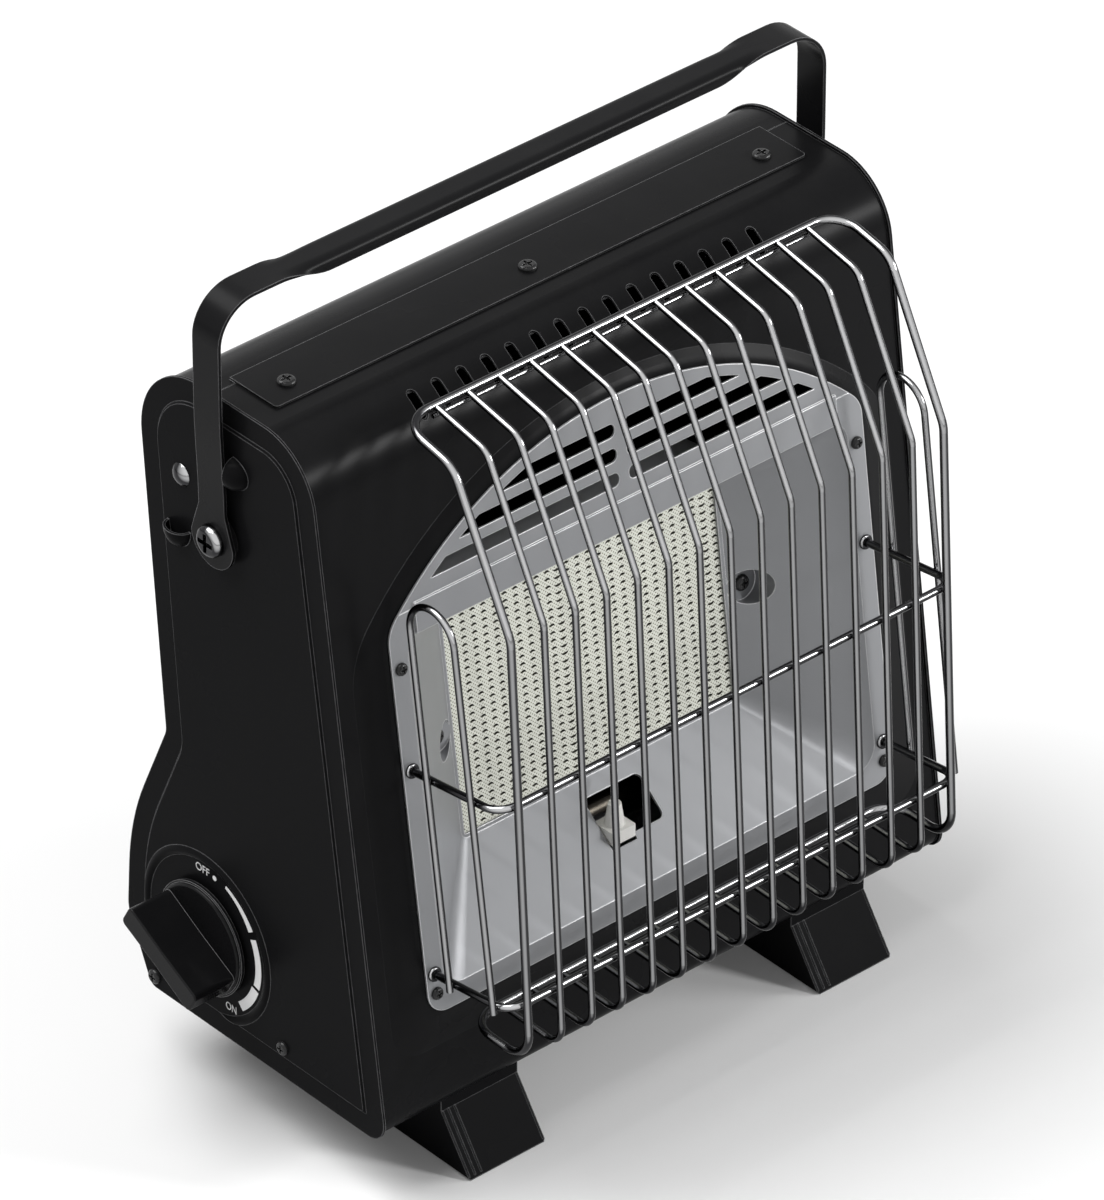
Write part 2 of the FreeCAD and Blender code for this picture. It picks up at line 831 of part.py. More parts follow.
def doorway():
    """The reflector's whole outline as a plate: a doorway with an arched head."""
    wire = arch_wire(tray_reach + tray_flange, -tray_flange - 0.7, arch_radius, 12.0, 8.0, -tray_sheet)
    return Part.Face(wire).extrude(Vector(0, 0, tray_sheet))


def hood_band():
    """The strip over the fold, and the lip that follows the tray's upper slope."""
    slope = (tray_top - plaque_low - plaque_view - 1.5) / tray_depth
    top = tray_top - lip_gap
    low = top - slope * lip_depth
    strip = box(-hood_reach, hood_reach, top - tray_sheet, fold_height + 2.0, 0, tray_sheet)
    profile = [(top, 0), (low, -lip_depth), (low - tray_sheet, -lip_depth), (top - tray_sheet, 0)]
    points = [Vector(-hood_reach, v, n) for v, n in profile]
    lip = Part.Face(Part.makePolygon(points + [points[0]])).extrude(Vector(2 * hood_reach, 0, 0))
    return strip.fuse(lip.common(hopper(-lip_gap, tray_depth)))


def louvre_hood():
    plate = doorway().cut(box(-200, 200, -50, fold_height + sheet_gap, -5, 5))
    hood = plate.fuse(hood_band())
    edge_disc = Part.makeCylinder(arch_radius - slot_edge, 20, Vector(0, arch_middle, -10))
    for row in range(slot_rows):
        v = slot_low + row * slot_pitch
        slot = box(slot_middle, arch_radius, v - slot_height / 2, v + slot_height / 2, -9, 9)
        ends = [e for e in slot.Edges if e.BoundBox.ZLength > 10 and e.BoundBox.XMax < slot_middle + 0.1]
        slot = slot.makeFillet(slot_height * 0.45, ends).common(edge_disc)
        hood = hood.cut([slot, mirror(slot)])
    return to_front(hood)


def reflector_screws():
    made = []
    for x, v in tray_screw_spots():
        made.append(to_front(screw(2.3, 1.5, 1.45, 6.0, Vector(x, v, 0), Vector(0, 0, -1))))
    return Part.makeCompound(made)


# Burner


def plaque(x0, x1):
    low = plaque_middle - plaque_height / 2
    return to_front(box(x0, x1, low, low + plaque_height, -plaque_front - plaque_thick, -plaque_front))


def plaque_left():
    return plaque(-plaque_width / 2, plaque_joint)


def plaque_right():
    return plaque(plaque_joint, plaque_width / 2)


def burner_block(margin, back, front):
    """A block as wide and high as the plaques and a margin, between two depths."""
    reach = plaque_width / 2 + margin
    half = plaque_height / 2 + margin
    return box(-reach, reach, plaque_middle - half, plaque_middle + half, -back, -front)


def burner_box():
    back = burner_floor + burner_hollow
    case = burner_block(burner_play + burner_wall, back + burner_wall, burner_front)
    pocket = burner_block(burner_play, burner_floor, 0)
    hollow = burner_block(burner_play - plaque_rest, back, 0)
    case = case.cut([pocket, hollow])
    depth = burner_front + screw_bite
    for side in (-1, 1):
        near = side * (plaque_width / 2 + burner_play)
        far = near + side * 6.0
        lug = box(min(near, far), max(near, far), plaque_middle - 5, plaque_middle + 5, -depth, -burner_front)
        spot = Vector(side * dimple_reach, plaque_middle, 0)
        case = case.fuse(lug).cut(rod(screw_hole - 0.1, spot + Vector(0, 0, 1 - depth), spot))
    mouth = rod(riser_radius - riser_wall, riser_foot(), riser_top(6.0))
    return to_front(case).cut(mouth)


def plaque_gasket():
    front = burner_floor - gasket_thick
    frame = burner_block(0, burner_floor, front)
    return to_front(frame.cut(burner_block(-plaque_rest, burner_floor + 1, 0)))


def burner_screws():
    made = []
    for side in (-1, 1):
        seat = Vector(side * dimple_reach, plaque_middle, -tray_depth)
        made.append(to_front(screw(3.0, 1.7, 1.45, screw_bite, seat, Vector(0, 0, -1))))
    return Part.makeCompound(made)


def riser_foot():
    return Vector(venturi_end - venturi_radius, venturi_y + riser_set_back, venturi_z)


def riser_top(past):
    """A point on the riser's axis, the given length above the burner box's underside."""
    under = to_front(Part.Vertex(Vector(0, plaque_middle - burner_half, -burner_floor))).Point
    return Vector(riser_foot().x, riser_foot().y, under.z + past)


def venturi_tube():
    start = Vector(venturi_start, venturi_y, venturi_z)
    end = Vector(venturi_end, venturi_y, venturi_z)
    bore = venturi_radius - venturi_wall
    run = rod(venturi_radius, start, end)
    hollow = rod(bore, start - Vector(1, 0, 0), end - Vector(venturi_wall, 0, 0))
    mouth = start - Vector(bell_length, 0, 0)
    bell = Part.makeCone(venturi_radius + bell_flare, venturi_radius, bell_length, mouth, along_x)
    bell_in = Part.makeCone(bore + bell_flare, bore, bell_length, mouth, along_x)
    foot = riser_foot()
    throat = riser_radius - riser_wall
    low = foot - Vector(0, 0, riser_radius)
    inside = Vector(foot.x, venturi_y, venturi_z)
    link = rod(riser_radius, foot, inside)
    link_in = rod(throat, foot, inside)
    riser = rod(riser_radius, low, riser_top(12.0))
    riser_in = rod(throat, low + Vector(0, 0, riser_wall), riser_top(14.0))
    whole = run.fuse([bell, link, riser]).cut([hollow, bell_in, link_in, riser_in])
    above = burner_block(burner_play + burner_wall, 90, 0)
    return whole.cut(to_front(above))


def jet_holder():
    """The jet on a bent plate that stands on the pan, in line with the venturi's bell."""
    half = jet_half_width
    x = venturi_start - bell_length
    spot = Vector(x, venturi_y, venturi_z)
    body = rod(jet_radius, spot - Vector(jet_length, 0, 0), spot + Vector(2, 0, 0))
    nozzle = Part.makeCone(3.4, 1.6, 6.0, spot + Vector(2, 0, 0), Vector(1, 0, 0))
    plate = box(x - half, x - half + 1.5, venturi_y - half, venturi_y + half, pan_top, venturi_z + half)
    foot = box(x - half, x + 4, venturi_y - half, venturi_y + half, pan_top, pan_top + 1.5)
    bore = rod(1.0, spot - Vector(jet_length + 1, 0, 0), spot + Vector(half, 0, 0))
    return body.fuse([nozzle, plate, foot]).cut(bore)


def gas_pipe():
    start = regulator_outlet() - Vector(0, sheet_gap, 0)
    end = Vector(venturi_start - bell_length - jet_length - sheet_gap, venturi_y, venturi_z)
    turn = Vector(start.x, venturi_y, start.z)
    return tube([start, turn, Vector(start.x, venturi_y, venturi_z), end], pipe_bend, pipe_radius)


def regulator_outlet():
    return Vector(regulator_start + regulator_length / 2, knob_y - regulator_radius - 8.0, knob_z)


def regulator():
    start = Vector(regulator_start, knob_y, knob_z)
    wall = Vector(partition_x, knob_y, knob_z)
    body = rod(regulator_radius, start, wall)
    drum = rod(regulator_radius + 5.0, start + along_x * 6, start + along_x * 20)
    collar = rod(collar_radius, wall - along_x, wall + along_x * 6)
    socket = rod(8.0, wall - along_x * 9, wall + along_x * 7)
    outlet = regulator_outlet()
    axis = Vector(outlet.x, knob_y, knob_z)
    arm = rod(4.5, axis, outlet)
    bore = rod(spindle_radius + run_gap, start - along_x, start + along_x * 12)
    duct = rod(1.5, axis - Vector(0, 6, 0), outlet - Vector(0, 1, 0))
    return body.fuse([drum, collar, arm]).cut([socket, bore, duct])


def valve_spindle():
    start = Vector(regulator_start + 10.0, knob_y, knob_z)
    end = Vector(-panel_face - knob_base - knob_gap - spindle_flat, knob_y, knob_z)
    stem = rod(spindle_radius, start, end)
    high = knob_z + spindle_radius
    flat = box(end.x - 1, end.x + spindle_flat, knob_y - 5, knob_y + 5, high - 1.0, high + 2)
    stem = stem.cut(flat)
    stem.rotate(Vector(0, knob_y, knob_z), along_x, knob_angle - 180.0)
    return stem


def control_knob():
    """Round cap with one wide grip bar; its pointer end stands at knob_angle from the back."""
    seat = panel_face + ring_raise + knob_gap
    top = panel_face + knob_base
    tip = panel_face + knob_reach
    skirt = Part.makeCylinder(knob_radius + 0.8, 1.2, Vector(0, 0, seat))
    cap = Part.makeCylinder(knob_radius, top - seat, Vector(0, 0, seat))
    crown = [e for e in cap.Edges if abs(e.BoundBox.ZMin - top) < 0.001]
    cap = cap.makeFillet(0.8, crown)
    half = knob_bar_width / 2
    reach = knob_bar_length / 2
    waist = half - 1.0
    end = half - 0.6
    points = [(reach, -end), (reach, end), (0, waist), (-reach, end), (-reach, -end), (0, -waist)]
    corners = [(Vector(a, b, top - 0.5), 12.0 if a == 0 else 2.0) for a, b in points]
    bar = Part.Face(closed_wire(corners)).extrude(Vector(0, 0, tip - top + 0.5))
    rims = [e for e in bar.Edges if abs(e.BoundBox.ZMin - tip) < 0.001]
    bar = bar.makeFillet(0.6, rims)
    knob = skirt.fuse([cap, bar])
    stem_top = panel_face + knob_base + knob_gap + spindle_flat
    hole = Part.makeCylinder(spindle_radius + run_gap, stem_top + run_gap - seat + 1, Vector(0, 0, seat - 1))
    flat = box(-5, 5, spindle_radius - 1.0 + run_gap, 5, stem_top - spindle_flat + run_gap, stem_top + 1)
    knob = knob.cut(hole.cut(flat))
    # the knob is drawn along +Z with its bar along +X; Z turns to -X and the bar into the panel's plane
    knob.rotate(Vector(0, 0, 0), Vector(0, 1, 0), -90)
    knob.rotate(Vector(0, 0, 0), Vector(1, 0, 0), knob_angle - 90.0)
    knob.translate(Vector(0, knob_y, knob_z))
    return knob


# Ignition


def piezo_igniter():
    wall = Vector(partition_x, piezo_y, piezo_z)
    barrel = rod(piezo_radius, wall - along_x * piezo_length, wall)
    cap = rod(4.0, wall - along_x * (piezo_length + 4), wall - along_x * (piezo_length - 1))
    x = lead_x()
    lug = box(x - 4, x + 4, piezo_y - piezo_lug, piezo_y, piezo_z - 3, piezo_z + 3)
    return barrel.fuse([cap, lug])


def lead_x():
    return partition_x - piezo_length / 2 - 1.0


def spark_foot():
    """Foot of the insulator that stands in the reflector's window."""
    return Vector(spark_x, spark_y, spark_z)


def ignition_wire():
    low = spark_z + lead_rise
    start = Vector(lead_x(), piezo_y - piezo_lug - sheet_gap, piezo_z)
    end = Vector(spark_x - insulator_half - sheet_gap, lead_y, low)
    turns = [Vector(start.x, lead_y, piezo_z), Vector(start.x, lead_y, low)]
    return tube([start] + turns + [end], lead_bend, lead_radius)


def igniter_ceramic():
    foot = spark_foot()
    half = insulator_half
    corner = foot - Vector(half, half, 0)
    block = Part.makeBox(2 * half, 2 * half, insulator_block, corner)
    cone = Part.makeCone(3.6, 2.3, insulator_cone, foot + Vector(0, 0, insulator_block), Vector(0, 0, 1))
    bore = rod(electrode_radius + run_gap, foot + Vector(0, 0, 2.0), foot + Vector(0, 0, 20))
    return block.fuse(cone).cut(bore)


def igniter_electrode():
    """The spark wire: up out of the insulator, then an arch towards the plaques."""
    foot = spark_foot()
    points = [foot + Vector(0, 0, 2.1), foot + Vector(0, 0, 17.0), foot + Vector(6.5, 6.5, 20.5)]
    return tube(points, 4.0, electrode_radius)


def igniter_bracket():
    """A plate under the insulator that ends in a saddle on the venturi tube."""
    start = Vector(spark_x, venturi_y, venturi_z)
    around = rod(venturi_radius + run_gap, start - along_x * 50, start + along_x * 50)
    back = venturi_y - 5.0
    half = insulator_half + 1.0
    front = spark_y - 1.4
    plate = box(spark_x - half, spark_x + half, front, back, spark_z - 1.0, spark_z)
    saddle_front = venturi_y - venturi_radius - 2.0
    saddle = box(spark_x - half, spark_x + half, saddle_front, back, venturi_z - 5.0, spark_z)
    return plate.fuse(saddle).cut(around)


# Heat shield and cartridge bay


def shield_line():
    """The heat shield from the pan up and back to the shelf, over the cartridge: (y, z)."""
    over = [(knob_y + y, knob_z + z) for y, z in shield_bends]
    return [(over[0][0], pan_top)] + over + [(shelf_front() + 2.0, door_top + door_gap)]


def heat_shield():
    shield = thick_line(shield_line(), shield_sheet / 2).extrude(Vector(2 * shield_reach, 0, 0))
    shield.translate(Vector(-shield_reach, 0, 0))
    outlet = regulator_outlet()
    shield = shield.cut(rod(pipe_radius + 1.5, outlet + Vector(0, 5, 0), outlet - Vector(0, 40, 0)))
    lead = Vector(lead_x(), piezo_y, piezo_z)
    shield = shield.cut(rod(lead_radius + 1.8, lead, lead - Vector(0, 50, 0)))
    top = door_top + door_gap
    return shield.cut(box(-200, 200, 0, 200, top, top + 10))


def thick_line(line, half):
    """A face in the YZ plane: an open polyline given a width of twice half."""
    left = []
    right = []
    for index, (y, z) in enumerate(line):
        here = Vector(0, y, z)
        before = Vector(0, *line[max(index - 1, 0)])
        after = Vector(0, *line[min(index + 1, len(line) - 1)])
        first = here - before if index > 0 else after - here
        second = after - here if index < len(line) - 1 else here - before
        first.normalize()
        second.normalize()
        side_a = Vector(0, -first.z, first.y)
        side_b = Vector(0, -second.z, second.y)
        both = side_a + side_b
        shift = both * (half / both.dot(side_a))
        left.append(here + shift)
        right.append(here - shift)
    ring = left + right[::-1]
    return Part.Face(Part.makePolygon(ring + [ring[0]]))


def bay_partition():
    """The wall between the cartridge and the regulator, under the heat shield."""
    line = shield_line()
    high = line[-2][1] - 0.6
    under = [Vector(0, line[0][0] + 1.0, pan_top)]
    under += [Vector(0, y + 1.0, z - 0.6) for y, z in line[1:-1]]
    under += [Vector(0, bulge_y, high), Vector(0, bulge_y, pan_top)]
    plate = Part.Face(Part.makePolygon(under + [under[0]])).extrude(Vector(shell_sheet, 0, 0))
    plate.translate(Vector(partition_x, 0, 0))
    inside = outline(rim_inset + 1.0, partition_x - 1, partition_x + 2)
    low = box(partition_x - 1, partition_x + 2, line[0][0], partition_back, pan_top, pan_top + 10)
    plate = plate.common(inside.fuse(low))
    foot_y = line[0][0] + 8
    foot = box(partition_x, partition_x + 10, foot_y, partition_back - 14, pan_top, pan_top + shell_sheet)
    axis = Vector(partition_x, knob_y, knob_z)
    hole = rod(collar_radius + sheet_gap, axis - along_x * 5, axis + along_x * 20)
    bead = Vector(partition_x, hinge_y, hinge_z)
    swing = rod(door_low_clear, bead - along_x * 5, bead + along_x * 20)
    return plate.fuse(foot).cut([hole, swing])


def cartridge_cradle():
    inner = cartridge_radius + cradle_play
    start = Vector(partition_x + cradle_start, knob_y, knob_z)
    end = Vector(cradle_end, knob_y, knob_z)
    pipe = rod(inner + cradle_sheet, start, end).cut(rod(inner, start, end))
    low = box(start.x, end.x, knob_y - 60, knob_y + 60, 0, knob_z - inner * 0.55)
    trough = pipe.common(low)
    rails = []
    for y in (knob_y - rail_spread, knob_y + rail_spread):
        rails.append(box(start.x, end.x, y - 0.5, y + 0.5, pan_top, knob_z - inner + 3.5))
    core = rod(inner, start, end)
    return trough.fuse(rails).cut(core)


# Door


def cartridge_door():
    reach = panel_inner - door_side_gap
    ring = wrap(door_inset, door_sheet, -reach, reach)
    sheet = ring.common(box(-200, 200, 100, 300, hinge_z, door_top))
    start = Vector(-reach, hinge_y, hinge_z)
    end = Vector(reach, hinge_y, hinge_z)
    bead = rod(hinge_bead, start, end)
    bore = rod(hinge_pin + run_gap, start - Vector(1, 0, 0), end + Vector(1, 0, 0))
    pull_y = rear_line(door_top, door_inset + door_sheet)
    pull = box(-22, 22, pull_y + 0.5, pull_y + 9.0, door_top - 1.0, door_top)
    tips = [e for e in pull.Edges if e.BoundBox.ZLength > 0.5 and e.BoundBox.YMin > pull_y + 8.0]
    pull = pull.makeFillet(4.0, tips)
    return sheet.fuse([bead, pull]).cut(bore)


def door_pivot_screws():
    return pair(screw(2.8, 1.5, hinge_pin, 9.0, Vector(-panel_reach, hinge_y, hinge_z), Vector(1, 0, 0)))


def door_magnet():
    low = door_top - 9.0
    gap = door_inset + door_sheet + 0.4
    top = door_top + door_gap
    front = shelf_front() + 4.0
    points = [Vector(-11, front, low), Vector(-11, rear_line(low, gap), low)]
    points += [Vector(-11, rear_line(top, gap), top), Vector(-11, front, top)]
    return Part.Face(Part.makePolygon(points + [points[0]])).extrude(Vector(22, 0, 0))


# Guard


def guard_profile():
    """Corners of the guard's side shape from the top bar to the heel, as (v, n)."""
    return [
        (guard_top_v, guard_top_n),
        (guard_brow_v, guard_brow_n),
        (guard_knee_v, guard_knee_n),
        (guard_toe_v, guard_toe_n),
        (guard_heel_v, guard_heel_n),
    ]


def shorten(start, towards, length):
    return start + (towards - start).normalize() * length


def guard_vertical_wires():
    made = []
    middle = (guard_inner - 1) / 2
    butt = frame_radius + run_gap
    for index in range(guard_inner):
        x = (index - middle) * guard_pitch
        points = [Vector(x, v, n) for v, n in guard_profile()]
        points[0] = shorten(points[0], points[1], butt)
        points[-1] = shorten(points[-1], points[-2], butt)
        made.append(to_front(tube(points, guard_bend, wire_radius)))
    return Part.makeCompound(made)


def guard_frame_wire():
    side = [Vector(guard_reach, v, n) for v, n in guard_profile()]
    top = Vector(0, guard_top_v, guard_top_n)
    heel = Vector(0, guard_heel_v, guard_heel_n)
    half = tube([top] + side + [heel], guard_corner_for(), frame_radius)
    return to_front(half.fuse(mirror(half)).removeSplitter())


def guard_corner_for():
    """The frame's bends are all as round as its shortest run allows."""
    run = math.hypot(guard_top_v - guard_brow_v, guard_top_n - guard_brow_n)
    return min(guard_corner, run * 0.42)


def guard_top_wire():
    """The thin wire under the uprights, close behind the top bar."""
    top = Vector(0, guard_top_v, guard_top_n)
    brow = Vector(0, guard_brow_v, guard_brow_n)
    down = (brow - top).normalize()
    under = Vector(0, -down.z, down.y)
    if under.y > 0:
        under = under * -1
    spot = top + down * thin_along + under * (wire_radius + thin_radius + run_gap)
    reach = guard_pitch * (guard_inner - 1) / 2 + wire_radius + thin_radius
    return to_front(rod(thin_radius, spot - along_x * reach, spot + along_x * reach))


def bar_n(v):
    """How far a cross bar stands out to lie just behind the uprights."""
    share = (v - guard_toe_v) / (guard_knee_v - guard_toe_v)
    run_v = guard_knee_v - guard_toe_v
    run_n = guard_knee_n - guard_toe_n
    lift = math.hypot(run_v, run_n) / run_v
    return guard_toe_n + share * run_n - (wire_radius + bar_radius + run_gap) * lift


def guard_bar(v):
    n = bar_n(v)
    points = [Vector(-bar_reach, v, bar_foot), Vector(-bar_reach, v, n)]
    points += [Vector(bar_reach, v, n), Vector(bar_reach, v, bar_foot)]
    return to_front(tube(points, bar_bend, bar_radius))


def guard_upper_bar():
    return guard_bar(bar_upper_v)


def guard_lower_bar():
    return guard_bar(bar_lower_v)


def guard_hoops():
    x = bar_reach + bar_radius + wire_radius + run_gap
    low = bar_lower_v - bar_radius
    radius = (hoop_far - hoop_near) / 2
    top = hoop_top
    points = [Vector(x, low, hoop_near), Vector(x, top, hoop_near)]
    points += [Vector(x, top, hoop_far), Vector(x, low, hoop_far)]
    return pair(to_front(tube(points, radius - 0.01, wire_radius)))


def bar_clips():
    """Push-on rings that hold the cross bars where they pass the flange."""
    made = []
    for x, v in bar_spots():
        spot = Vector(x, v, 0)
        top = spot + Vector(0, 0, clip_height)
        ring = rod(clip_radius, spot, top)
        crown = [edge for edge in ring.Edges if edge.BoundBox.ZMin > clip_height - 0.01]
        ring = ring.makeFillet(clip_height * 0.6, crown)
        made.append(to_front(ring.cut(rod(bar_radius + run_gap, spot, top))))
    return Part.makeCompound(made)


# Handle


def strap_outline(inset):
    """The bent strap's U in the XZ plane, moved inward by inset."""
    low = pivot_z
    outer_low = strap_outer - inset
    outer_top = strap_outer + strap_flare - inset
    top = strap_top - inset
    corners = [
        (Vector(-outer_low, 0, low - lobe_radius - 2), 0),
        (Vector(-outer_low, 0, low + lobe_radius), 30.0),
        (Vector(-outer_top, 0, low + lobe_radius + 40), 30.0),
        (Vector(-outer_top, 0, top), strap_bend - inset),
        (Vector(outer_top, 0, top), strap_bend - inset),
        (Vector(outer_top, 0, low + lobe_radius + 40), 30.0),
        (Vector(outer_low, 0, low + lobe_radius), 30.0),
        (Vector(outer_low, 0, low - lobe_radius - 2), 0),
    ]
    return Part.Face(closed_wire(corners))


def handle_strap():
    half = strap_width / 2
    band = strap_outline(0).extrude(Vector(0, 2 * lobe_radius, 0))
    inner = strap_outline(strap_thick).extrude(Vector(0, 2 * lobe_radius, 0))
    floor = box(-200, 200, -1, 50, pivot_z - lobe_radius - 5, pivot_z - lobe_radius)
    band = band.cut([inner, floor])
    band.translate(Vector(0, pivot_y - lobe_radius, 0))
    slab = box(-200, 200, pivot_y - half, pivot_y + half, pivot_z, strap_top + 5)
    disc = rod(lobe_radius, Vector(-200, pivot_y, pivot_z), Vector(200, pivot_y, pivot_z))
    strap = band.common(slab.fuse(disc))
    for side in (-1, 1):
        hem_y = pivot_y + side * (half - strap_thick)
        low_y = min(hem_y, hem_y + side * strap_thick)
        low_z = strap_top - strap_thick - grip_hem
        hem = box(-grip_reach, grip_reach, low_y, low_y + strap_thick, low_z, strap_top - 0.5)
        ends = [e for e in hem.Edges if e.BoundBox.YLength > 1 and e.BoundBox.XLength < 0.01
                and e.BoundBox.ZMax < strap_top - 1]
        hem = hem.makeChamfer(grip_hem * 0.95, ends)
        strap = strap.fuse(hem)
    crown = [e for e in strap.Edges if e.BoundBox.ZMin > strap_top - 0.01 and e.BoundBox.XLength > 100]
    strap = strap.makeFillet(0.6, crown)
    hole = rod(pivot_hole, Vector(-200, pivot_y, pivot_z), Vector(200, pivot_y, pivot_z))
    return strap.cut(hole)


def pivot_screws():
    seat = Vector(-strap_outer - run_gap * 2, pivot_y, pivot_z)
    length = strap_outer + run_gap * 2 - panel_inner + 6.0
    one = screw(5.9, 3.0, pivot_hole - run_gap, length, seat, Vector(1, 0, 0))
    return pair(one)


def pivot_spacers():
    start = Vector(-panel_face, pivot_y, pivot_z)
    end = Vector(-strap_inner + run_gap * 2, pivot_y, pivot_z)
    ring = rod(spacer_radius, start, end)
    hole = rod(pivot_hole, start + Vector(1, 0, 0), end - Vector(1, 0, 0))
    return pair(ring.cut(hole))


def panel_rivets():
    """Bright domed rivets behind the handle; the strap passes just over them."""
    seat = Vector(-panel_face, rivet_y, rivet_z)
    ball_radius = (rivet_radius ** 2 + rivet_height ** 2) / (2 * rivet_height)
    ball = Part.makeSphere(ball_radius, seat + Vector(ball_radius - rivet_height, 0, 0))
    dome = ball.common(box(-200, -panel_face, rivet_y - 20, rivet_y + 20, rivet_z - 20, rivet_z + 20))
    shank = rod(1.55, seat, seat + Vector(6, 0, 0))
    return pair(dome.fuse(shank))


makers = {
    "front_shell": front_shell,
    "rear_shell": rear_shell,
    "left_side_panel": left_side_panel,
    "right_side_panel": right_side_panel,
    "dial_marks": dial_marks,
    "base_pan": base_pan,
    "foot_right": foot_right,
    "foot_left": foot_left,
    "foot_screws": foot_screws,
    "lap_screws": lap_screws,
    "side_screws": side_screws,
    "reflector_tray": reflector_tray,
    "louvre_hood": louvre_hood,
    "reflector_screws": reflector_screws,
    "plaque_left": plaque_left,
    "plaque_right": plaque_right,
    "burner_box": burner_box,
    "plaque_gasket": plaque_gasket,
    "burner_screws": burner_screws,
    "venturi_tube": venturi_tube,
    "jet_holder": jet_holder,
    "gas_pipe": gas_pipe,
    "regulator": regulator,
    "valve_spindle": valve_spindle,
    "control_knob": control_knob,
    "piezo_igniter": piezo_igniter,
    "ignition_wire": ignition_wire,
    "igniter_ceramic": igniter_ceramic,
    "igniter_electrode": igniter_electrode,
    "igniter_bracket": igniter_bracket,
    "heat_shield": heat_shield,
    "bay_partition": bay_partition,
    "cartridge_cradle": cartridge_cradle,
    "cartridge_door": cartridge_door,
    "door_pivot_screws": door_pivot_screws,
    "door_magnet": door_magnet,
    "guard_vertical_wires": guard_vertical_wires,
    "guard_frame_wire": guard_frame_wire,
    "guard_top_wire": guard_top_wire,
    "guard_upper_bar": guard_upper_bar,
    "guard_lower_bar": guard_lower_bar,
    "guard_hoops": guard_hoops,
    "bar_clips": bar_clips,
    "handle_strap": handle_strap,
    "pivot_screws": pivot_screws,
    "pivot_spacers": pivot_spacers,
    "panel_rivets": panel_rivets,
}


def build():
    os.makedirs("parts", exist_ok=True)
    shapes = {name: make() for name, make in makers.items()}
    whole = FreeCAD.BoundBox()
    for shape in shapes.values():
        for solid in shape.Solids:
            whole.add(solid.optimalBoundingBox(False))
    home = Vector(-whole.Center.x, -whole.Center.y, -whole.ZMin)
    print("moved by", [round(value, 4) for value in home])
    print("size", round(whole.XLength, 2), round(whole.YLength, 2), round(whole.ZLength, 2))
    for name, shape in shapes.items():
        shape.translate(home)
        print(name, len(shape.Solids), shape.isValid(), round(shape.Volume, 1))
        shape.exportStep("parts/" + name + ".step")


build()
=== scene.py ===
import json
import math
import bmesh
import bpy
from mathutils import Euler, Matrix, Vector


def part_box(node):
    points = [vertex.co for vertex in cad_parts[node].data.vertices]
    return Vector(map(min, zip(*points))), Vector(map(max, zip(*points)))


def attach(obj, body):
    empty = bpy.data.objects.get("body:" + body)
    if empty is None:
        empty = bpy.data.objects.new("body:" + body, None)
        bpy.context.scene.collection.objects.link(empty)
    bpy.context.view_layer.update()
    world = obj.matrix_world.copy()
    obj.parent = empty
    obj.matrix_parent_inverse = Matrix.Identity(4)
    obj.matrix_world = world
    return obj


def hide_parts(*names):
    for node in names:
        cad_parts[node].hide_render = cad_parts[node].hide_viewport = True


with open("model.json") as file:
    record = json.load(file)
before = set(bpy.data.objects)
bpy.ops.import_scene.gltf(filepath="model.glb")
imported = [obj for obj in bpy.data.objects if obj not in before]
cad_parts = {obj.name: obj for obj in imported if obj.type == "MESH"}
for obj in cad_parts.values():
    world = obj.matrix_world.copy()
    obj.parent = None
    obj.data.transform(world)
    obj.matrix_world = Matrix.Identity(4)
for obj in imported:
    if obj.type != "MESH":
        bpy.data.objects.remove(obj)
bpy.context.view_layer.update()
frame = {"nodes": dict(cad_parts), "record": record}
nodes = frame["nodes"]
mm = 0.001

# The CAD's drawing origin: middle of the body, at its lower front corner, on the floor
handlePivot = {"y": 78.9, "z": 231.5}
pivotLow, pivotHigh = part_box("pivot_screws")
home = (Vector(pivotLow) + Vector(pivotHigh)) / 2 - Vector((0, handlePivot["y"], handlePivot["z"])) * mm


def place(x, y, z):
    return home + Vector((x, y, z)) * mm


# The CAD's frame that leans with the front, which holds the reflector: its lean and its origin
frontLean = {"angle": 7.8, "y": 3.826, "z": 74.794}
leanAngle = math.radians(frontLean["angle"])
alongFront = Vector((0, math.sin(leanAngle), math.cos(leanAngle)))
outOfFront = Vector((0, -math.cos(leanAngle), math.sin(leanAngle)))


def onFront(x, up, out):
    return place(x, frontLean["y"], frontLean["z"]) + (alongFront * up + outOfFront * out) * mm


def newGroup(name, inputs, outputs):
    tree = bpy.data.node_groups.new(name, "ShaderNodeTree")
    for label, kind, value in inputs:
        socket = tree.interface.new_socket(label, in_out="INPUT", socket_type=kind)
        socket.default_value = value
    for label, kind in outputs:
        tree.interface.new_socket(label, in_out="OUTPUT", socket_type=kind)
    return tree, tree.nodes.new("NodeGroupInput"), tree.nodes.new("NodeGroupOutput")


def addNode(tree, kind, **settings):
    # in_NAME or in_NUMBER sets an input socket, any other name a setting of the node
    node = tree.nodes.new(kind)
    for key, value in settings.items():
        if key.startswith("in_"):
            slot = key[3:]
            node.inputs[int(slot) if slot.isdigit() else slot].default_value = value
        else:
            setattr(node, key, value)
    return node


def addRamp(tree, low, high):
    # 0 at low and 1 at high
    return addNode(tree, "ShaderNodeMapRange", in_1=low, in_2=high, in_3=0.0, in_4=1.0)


